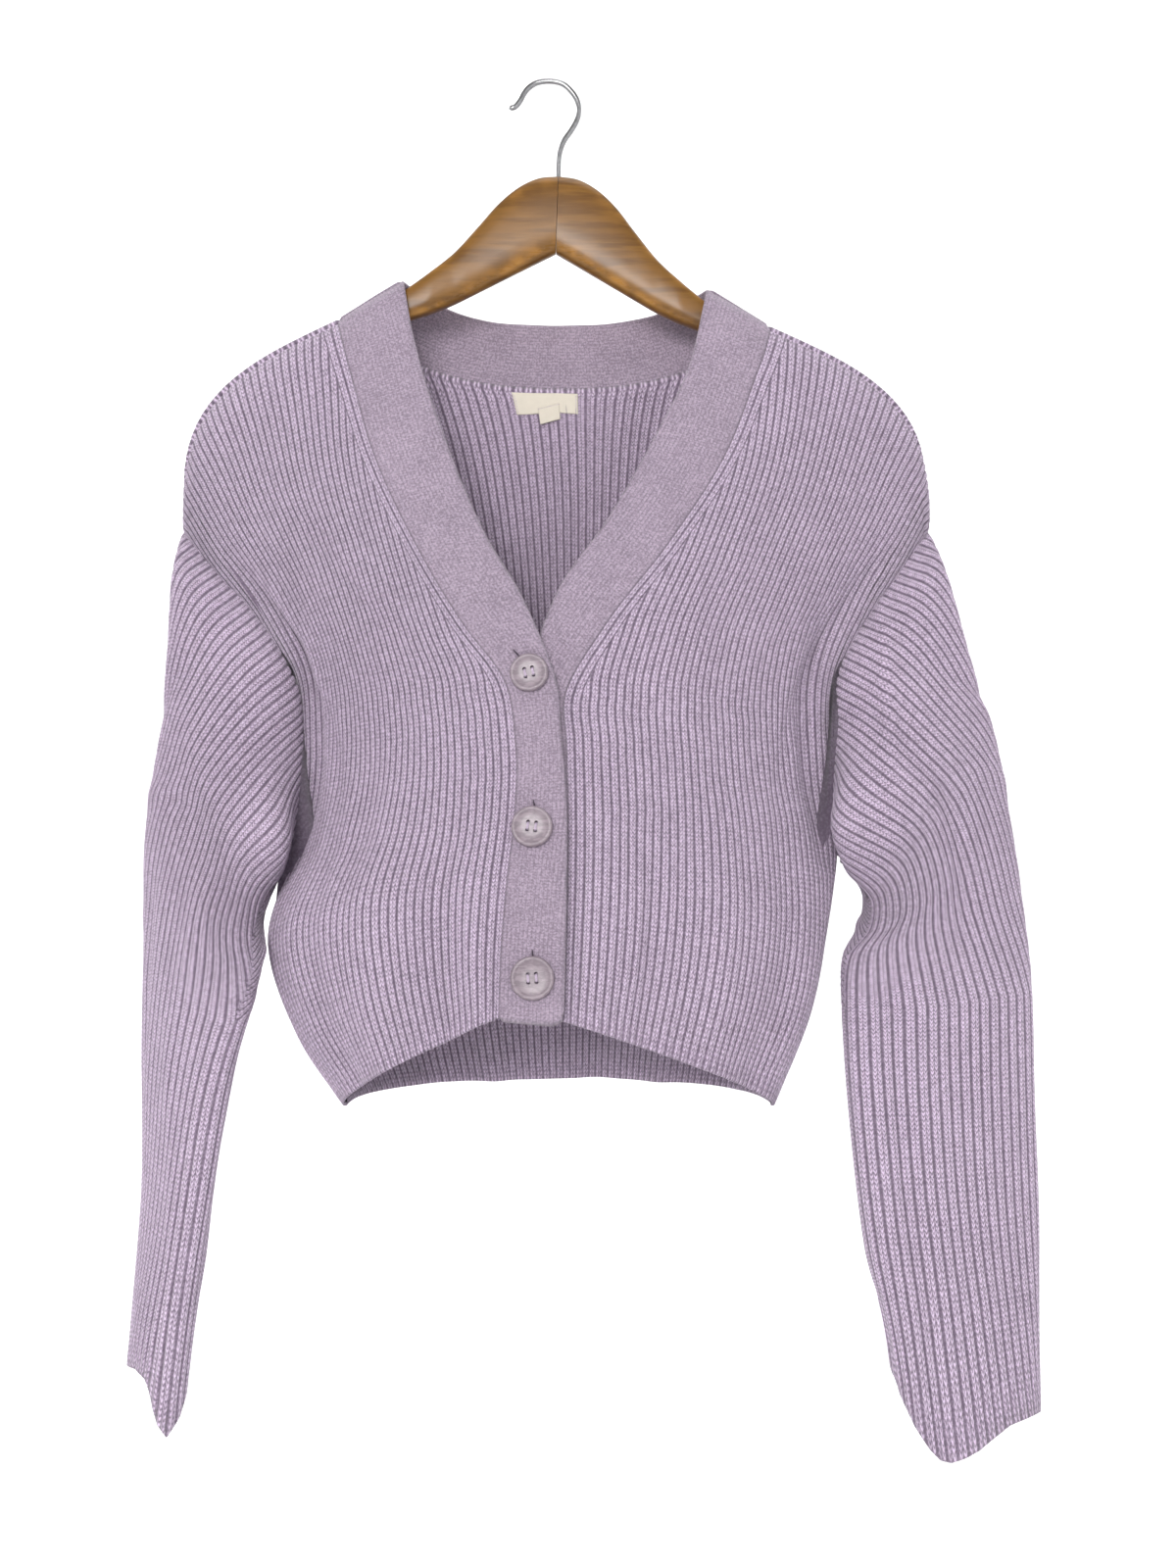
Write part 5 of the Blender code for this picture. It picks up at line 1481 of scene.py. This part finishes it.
class CARDIGAN_OT_bands(bpy.types.Operator):
    """Makes the three stretches of the band"""

    bl_idname = "cardigan.bands"
    bl_label = "Bands"

    def execute(self, context):
        look = context.scene.cardigan_look
        knit = material_of("lavender_band", band_finish, look)
        levels = np.concatenate([np.linspace(0, 0.9, 200), np.linspace(0.9, 1, 60)[1:]])
        left_seam = front_grid(FRONT_LEFT_COURSES, LEFT_FOLDS, levels,
                               np.array([0.0, 0.01]), -1)[:, 0]
        right_seam = front_grid(FRONT_RIGHT_COURSES, RIGHT_FOLDS, levels,
                                np.array([0.0, 0.01]), 1)[:, 0]
        left_edge = band_edge(BAND_LEFT_EDGE, levels)
        right_edge = band_edge(BAND_RIGHT_EDGE, levels)
        neck = NECK_SHARE * np.sin(np.linspace(-math.pi / 2, math.pi / 2, 91))
        neck_seam = back_top(neck)
        neck_edge = back_band_edge(neck_seam, left_edge[-1], right_edge[-1])
        left = band_strip("band_strip_left", left_seam, left_edge, 1, 1, look, knit, 5.0)
        right = band_strip("band_strip_right", right_seam, right_edge, -1, 2, look, knit, 5.0)
        behind = band_strip("band_strip_back", neck_seam, neck_edge, 1, 3, look, knit)
        for strip, node, under in ((left, "band_left", "knit_front_left"),
                                   (right, "band_right", "knit_front_right"),
                                   (behind, "band_back", "knit_back")):
            keep_piece(strip, "band_knit", node)
        return {"FINISHED"}


def button_place(node):
    """Middle in millimetres and forward direction of a button's CAD solid."""
    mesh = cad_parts[node].data
    points = np.empty(len(mesh.vertices) * 3)
    mesh.vertices.foreach_get("co", points)
    points = points.reshape(-1, 3) / MM
    middle = (points.min(axis=0) + points.max(axis=0)) / 2
    _, _, axes = np.linalg.svd(points - points.mean(axis=0), full_matrices=False)
    normal = axes[2] * (-1 if axes[2][1] > 0 else 1)
    reach = (points - middle) @ normal
    middle = middle + normal * (reach.max() + reach.min()) / 2
    return middle, normal


class CARDIGAN_OT_buttons(bpy.types.Operator):
    """Turns the three buttons, drills them and sews them on"""

    bl_idname = "cardigan.buttons"
    bl_label = "Buttons"

    def execute(self, context):
        look = context.scene.cardigan_look
        shell = material_of("marbled_button", button_finish, look)
        thread = material_of("pale_thread", thread_finish, look)
        for name, (radius, turn) in BUTTONS.items():
            middle, normal = button_place(name)
            place = (Matrix.Translation(middle * MM)
                     @ Vector(normal).to_track_quat("Z", "Y").to_matrix().to_4x4()
                     @ Matrix.Rotation(math.radians(turn), 4, "Z"))
            button = turned_button("sewn_" + name, radius, shell)
            button.data.transform(place)
            keep_piece(button, "button", name)
            sewing = button_thread(name + "_thread", thread)
            sewing.data.transform(place)
            keep_piece(sewing, "button")
        return {"FINISHED"}


def turned_button(name, radius, material):
    """A button as turned: a round profile with a soft rim, bored four times."""
    back = BUTTON_THICK / 2
    knots = np.array([
        (0.0, back - BUTTON_RIM - 0.05), (radius * 0.4, back - BUTTON_RIM),
        (radius - 3.4, back - BUTTON_RIM + 0.06), (radius - 2.6, back - 0.45),
        (radius - 1.9, back - 0.05), (radius - 1.2, back), (radius - 0.5, back - 0.35),
        (radius - 0.05, 0.35), (radius, 0.0), (radius - 0.3, -back + 0.7),
        (radius - 1.2, -back), (0.0, -back)])
    mesh = bpy.data.meshes.new(name)
    mesh.from_pydata([(r * MM, 0.0, h * MM) for r, h in knots], [
        (k, k + 1) for k in range(len(knots) - 1)], [])
    button = bpy.data.objects.new(name, mesh)
    bpy.context.scene.collection.objects.link(button)
    turned = button.modifiers.new("turned", "SCREW")
    turned.steps = 72
    turned.render_steps = 72
    turned.use_merge_vertices = True
    turned.merge_threshold = 0.00001
    drills = bmesh.new()
    for quarter in range(4):
        angle = math.radians(45 + 90 * quarter)
        far = BUTTON_PITCH * math.sqrt(2) * MM
        spot = Matrix.Translation((far * math.cos(angle), far * math.sin(angle), 0))
        bmesh.ops.create_cone(drills, cap_ends=True, segments=24, radius1=BUTTON_HOLE * MM,
                              radius2=BUTTON_HOLE * MM, depth=3 * BUTTON_THICK * MM, matrix=spot)
    drill_mesh = bpy.data.meshes.new(name + "_drills")
    drills.to_mesh(drill_mesh)
    drills.free()
    drill = bpy.data.objects.new(name + "_drills", drill_mesh)
    bpy.context.scene.collection.objects.link(drill)
    holes = button.modifiers.new("holes", "BOOLEAN")
    holes.operation = "DIFFERENCE"
    holes.object = drill
    made = bpy.data.meshes.new_from_object(
        button.evaluated_get(bpy.context.evaluated_depsgraph_get()))
    button.modifiers.clear()
    button.data = made
    bpy.data.objects.remove(drill)
    shape = bmesh.new()
    shape.from_mesh(made)
    bmesh.ops.remove_doubles(shape, verts=shape.verts, dist=0.000001)
    bmesh.ops.recalc_face_normals(shape, faces=shape.faces)
    shape.to_mesh(made)
    shape.free()
    made.materials.clear()
    made.materials.append(material)
    made.shade_smooth()
    made.set_sharp_from_angle(angle=math.radians(40))
    return button


def button_thread(name, material):
    """Two pairs of thread strands across a button's holes."""
    top = BUTTON_THICK / 2 - BUTTON_RIM
    parts = []
    for side in (-1, 1):
        for strand in STRANDS:
            x = side * BUTTON_PITCH + strand
            reach = BUTTON_PITCH
            path = [(x, -reach, top - 1.5), (x, -reach + 0.3, top - 0.1),
                    (x * 1.01, -reach * 0.55, top + 0.38), (x, 0.0, top + 0.46),
                    (x * 0.99, reach * 0.55, top + 0.38), (x, reach - 0.3, top - 0.1),
                    (x, reach, top - 1.5)]
            parts.append(tube(path, BUTTON_THREAD, 8))
    points, faces = joined(parts)
    return add_mesh(name, points, faces, material)


class CARDIGAN_OT_labels(bpy.types.Operator):
    """Weaves the neck label and the size tab, both bare, and stitches them"""

    bl_idname = "cardigan.labels"
    bl_label = "Labels"

    def execute(self, context):
        look = context.scene.cardigan_look
        tape = material_of("cream_tape", label_finish, look)
        thread = material_of("pale_thread", thread_finish, look)
        lift = WALL / 2 + TRIM_GAP + TRIM_THICK / 2
        half_neck = shoulder_line(FRONT_RIGHT_COURSES, np.zeros(1))[0, 0]
        for name, node, place, rise in (
                ("bare_label", "neck_label", LABEL, lift),
                ("bare_size_tab", "size_tab", SIZE_TAB, lift + TRIM_THICK + TRIM_GAP)):
            levels = np.linspace(place["low"], place["high"], 16)
            across = np.linspace(place["left"], place["right"], 40)
            points = back_grid(levels, across / half_neck * NECK_SHARE)
            points[..., 1] -= rise
            points[..., 2] += place["slant"] * np.linspace(-1, 1, 40)[None, :]
            normals = normals_of(points) * -1
            uv = np.stack(np.broadcast_arrays(
                across[None, :] / 0.55, (levels * PANEL_RISE)[:, None] / 0.5), -1)
            tag = add_shell(name, points, normals, TRIM_THICK / 2, -1, tape, uv, 1.0, lip=0.2)
            keep_piece(tag, "woven_label", node)
            abs(place["right"] - place["left"]) * MM
            (place["high"] - place["low"]) * TRIM_RISE * MM
            sewn = [points[-2, 1:-1]]
            if node == "neck_label":
                sewn = [points[2:-2, 1], points[2:-2, -2]]
            sewn = [path - np.array([0, TRIM_THICK / 2 + 0.05, 0]) for path in sewn]
            stitches(name + "_stitches", sewn, thread, "woven_label", 7,
                     pitch=0.0016, length=0.0006, thickness=0.0002)
        return {"FINISHED"}


def arm_sections(side):
    """One arm's fine sections as rings of points, and how pale each point is painted, for wear and
    a painted highlight.
    """
    table = rows_of(ARM_COLUMNS, ARM_SECTIONS)
    reach = np.linspace(HANGER_JOIN / 2, table["reach"][-1], ARM_RINGS)
    at = {key: np.interp(reach, table["reach"], table[key]) for key in ARM_COLUMNS[1:]}
    for key in ("top", "bottom"):
        at[key] = smooth(table["reach"], table[key], reach)
    angle = np.linspace(0, 2 * math.pi, 49)[:-1]
    round_y = np.sign(np.cos(angle)) * np.abs(np.cos(angle)) ** ARM_ROUND
    round_z = np.sign(np.sin(angle)) * np.abs(np.sin(angle)) ** ARM_ROUND
    rings = []
    for k in range(ARM_RINGS):
        height = (at["top"][k] - at["bottom"][k]) / 2
        level = (at["top"][k] + at["bottom"][k]) / 2
        closing = max(0.0, 1 + (k - ARM_RINGS) / ARM_TIP_RINGS)
        tip = math.sqrt(max(0.02, 1 - closing ** 2))
        rings.append(np.stack([
            np.full(len(angle), side * reach[k]),
            round_y * tip * at["thick"][k] / 2 - at["forward"][k],
            level + round_z * tip * height,
        ], -1))
    rings = np.array(rings)
    tilt = math.radians(HANGER_TILT)
    turned = rings.copy()
    turned[..., 0] = rings[..., 0] * math.cos(tilt) - rings[..., 2] * math.sin(tilt) + HANGER_X
    turned[..., 2] = rings[..., 0] * math.sin(tilt) + rings[..., 2] * math.cos(tilt) + HANGER_TOP
    # How pale the wood is painted at each point: rubbed wear and a painted highlight on the
    # section's corners, most on the lower ones.
    corner = np.exp(-(((np.abs(round_y) - 0.72) / 0.16) ** 2))
    wear = corner * np.where(round_z < 0, 1.0, 0.55)
    return turned, np.broadcast_to(wear, rings.shape[:2])


class CARDIGAN_OT_hanger(bpy.types.Operator):
    """Shapes the hanger's two wooden arms and bends its hook"""

    bl_idname = "cardigan.hanger"
    bl_label = "Hanger"

    def execute(self, context):
        look = context.scene.cardigan_look
        for hand, side in (("left", -1), ("right", 1)):
            rings, wear = arm_sections(side)
            count = rings.shape[1]
            index = np.arange(rings.shape[0] * count).reshape(rings.shape[:2])
            over = np.roll(index, -1, axis=1)
            cells = np.stack([index[:-1], index[1:], over[1:], over[:-1]], -1).reshape(-1, 4)
            faces = cells.tolist() + [index[0].tolist(), index[-1].tolist()[::-1]]
            if side > 0:
                faces = [face[::-1] for face in faces]
            wood = wood_finish("lacquered_wood_" + hand, ARM_GRAIN[hand], look)
            arm = add_mesh("wooden_arm_" + hand, rings.reshape(-1, 3), faces, wood,
                           values={"wear": wear.reshape(-1)})
            arm.data.set_sharp_from_angle(angle=math.radians(50))
            keep_piece(arm, "hanger_wood", "hanger_arm_" + hand)
        route = np.array([(x, 0.0, z) for x, z in HOOK_ROUTE])
        run = np.concatenate([[0], np.cumsum(np.linalg.norm(np.diff(route, axis=0), axis=1))])
        shares = np.linspace(0, run[-1], 150)
        path = smooth(run, route, shares)
        radius = WIRE * np.sqrt(np.clip(shares / 1.6, 0.05, 1))
        points, faces = tube(path, radius, 20)
        hook = add_mesh("bent_hook", points, faces, chrome_finish())
        keep_piece(hook, "hook_wire", "hanger_hook")
        return {"FINISHED"}


class CARDIGAN_OT_stitching(bpy.types.Operator):
    """Works the buttonholes in the upper band"""

    bl_idname = "cardigan.stitching"
    bl_label = "Buttonholes"

    def execute(self, context):
        look = context.scene.cardigan_look
        band = bpy.data.objects["band_strip_left"].data
        points = np.empty(len(band.vertices) * 3)
        band.vertices.foreach_get("co", points)
        points = points.reshape(-1, 3) / MM
        dark = material_of("deep_slit", slit_finish, look)
        yarn = material_of("linking_yarn", yarn_finish, look)
        for name, (x, z, lean, long) in SLITS.items():
            share = np.linspace(-1, 1, 25)
            path_z = z + share * long * math.cos(math.radians(lean))
            path_x = x + share * long * math.sin(math.radians(lean))
            near = [np.hypot(points[:, 0] - a, points[:, 2] - c) < 2.2
                    for a, c in zip(path_x, path_z)]
            path_y = np.array([points[chosen][:, 1].min() for chosen in near])
            path_y = np.convolve(np.pad(path_y, 4, "edge"), np.ones(9) / 9, "valid")
            spine = np.stack([path_x, path_y + SLIT_SUNK, path_z], -1)
            width = SLIT_HALF * np.sqrt(np.clip(1 - share ** 2, 0.02, 1))
            # The slit is a dark tube sunk in the band, a painted shadow inside the buttonhole.
            slit_points, slit_faces = tube(spine, width, 8)
            slit = add_mesh(name, slit_points, slit_faces, dark)
            keep_piece(slit, "band_knit")
            sides = [spine + np.array([side * SLIT_EDGING, -0.05, 0.0]) for side in (-1, 1)]
            stitches(name + "_edging", sides, yarn, "band_knit", 11,
                     pitch=0.0011, length=0.00034, thickness=0.00048)
        return {"FINISHED"}


def slit_finish(look):
    """The shadow in a slit."""
    finish = Finish("deep_slit", Roughness=1.0)
    fuzz = finish.noise(1500.0, 2.0)
    deep = tuple(part * 0.25 for part in look.band_dark_and_shade)
    finish.feed("Base Color", finish.mix(fuzz, rgba(deep), rgba(look.band_dark_and_shade)))
    return finish.material


class CARDIGAN_OT_stage(bpy.types.Operator):
    """Sets the pale stage, the soft lights and the camera"""

    bl_idname = "cardigan.stage"
    bl_label = "Stage"

    def execute(self, context):
        scene = context.scene
        knots = np.array(BOWL)
        run = np.linspace(0, len(knots) - 1, BOWL_RINGS)
        radius, level = smooth(np.arange(len(knots), dtype=float), knots, run).T
        count = BOWL_SIDES
        angle = np.linspace(0, 2 * math.pi, count + 1)[:-1]
        points = [(0.0, 0.0, level[0] / MM)]
        for r, z in zip(radius[1:], level[1:]):
            points += [(r * math.cos(a) / MM, r * math.sin(a) / MM, z / MM) for a in angle]
        faces = [(0, 1 + k, 1 + (k + 1) % count) for k in range(count)]
        for i in range(len(radius) - 2):
            for k in range(count):
                m = (k + 1) % count
                faces.append((1 + i * count + k, 1 + (i + 1) * count + k,
                              1 + (i + 1) * count + m, 1 + i * count + m))
        bowl = add_mesh("pale_stage", points, faces, stage_finish())
        for name, (place, size, power, colour) in LAMPS.items():
            lamp = bpy.data.lights.new(name, "AREA")
            lamp.size = size
            lamp.energy = power
            lamp.color = colour
            holder = bpy.data.objects.new(name, lamp)
            holder.location = place
            aim = Vector(LIT_WALL if name.startswith("wall") else LIT_SPOT) - Vector(place)
            holder.rotation_euler = aim.to_track_quat("-Z", "Y").to_euler()
            scene.collection.objects.link(holder)
        world = bpy.data.worlds.new("soft_room")
        scene.world = world
        world.use_nodes = True
        light = world.node_tree.nodes["Background"].inputs
        light["Color"].default_value = (1, 1, 1, 1)
        light["Strength"].default_value = WORLD_LIGHT
        scene.view_settings.view_transform = "Standard"
        camera = bpy.data.cameras.new("front_view")
        camera.lens = LENS
        camera.clip_start = 0.05
        view = bpy.data.objects.new("front_view", camera)
        view.location = CAMERA_AT
        view.rotation_euler = (math.radians(90), 0.0, 0.0)
        scene.collection.objects.link(view)
        scene.camera = view
        return {"FINISHED"}


class CARDIGAN_PT_sidebar(bpy.types.Panel):
    """Lists the pieces, in the order that they are made"""

    bl_idname = "CARDIGAN_PT_sidebar"
    bl_label = "Cardigan"
    bl_space_type = "VIEW_3D"
    bl_region_type = "UI"
    bl_category = "Cardigan"

    def draw(self, context):
        look = context.scene.cardigan_look
        for key in look.__annotations__:
            self.layout.prop(look, key)
        for operator in MAKERS:
            self.layout.operator(operator.bl_idname)


MAKERS = (CARDIGAN_OT_body, CARDIGAN_OT_sleeves, CARDIGAN_OT_bands, CARDIGAN_OT_buttons,
          CARDIGAN_OT_labels, CARDIGAN_OT_hanger, CARDIGAN_OT_stitching, CARDIGAN_OT_stage)


def register():
    for kind in (CardiganLook,) + MAKERS + (CARDIGAN_PT_sidebar,):
        bpy.utils.register_class(kind)
    bpy.types.Scene.cardigan_look = bpy.props.PointerProperty(type=CardiganLook)


def unregister():
    del bpy.types.Scene.cardigan_look
    for kind in (CARDIGAN_PT_sidebar,) + MAKERS[::-1] + (CardiganLook,):
        bpy.utils.unregister_class(kind)


def main():
    register()
    for maker in MAKERS:
        group, name = maker.bl_idname.split(".")
        getattr(getattr(bpy.ops, group), name)()


if __name__ == "__main__":
    main()
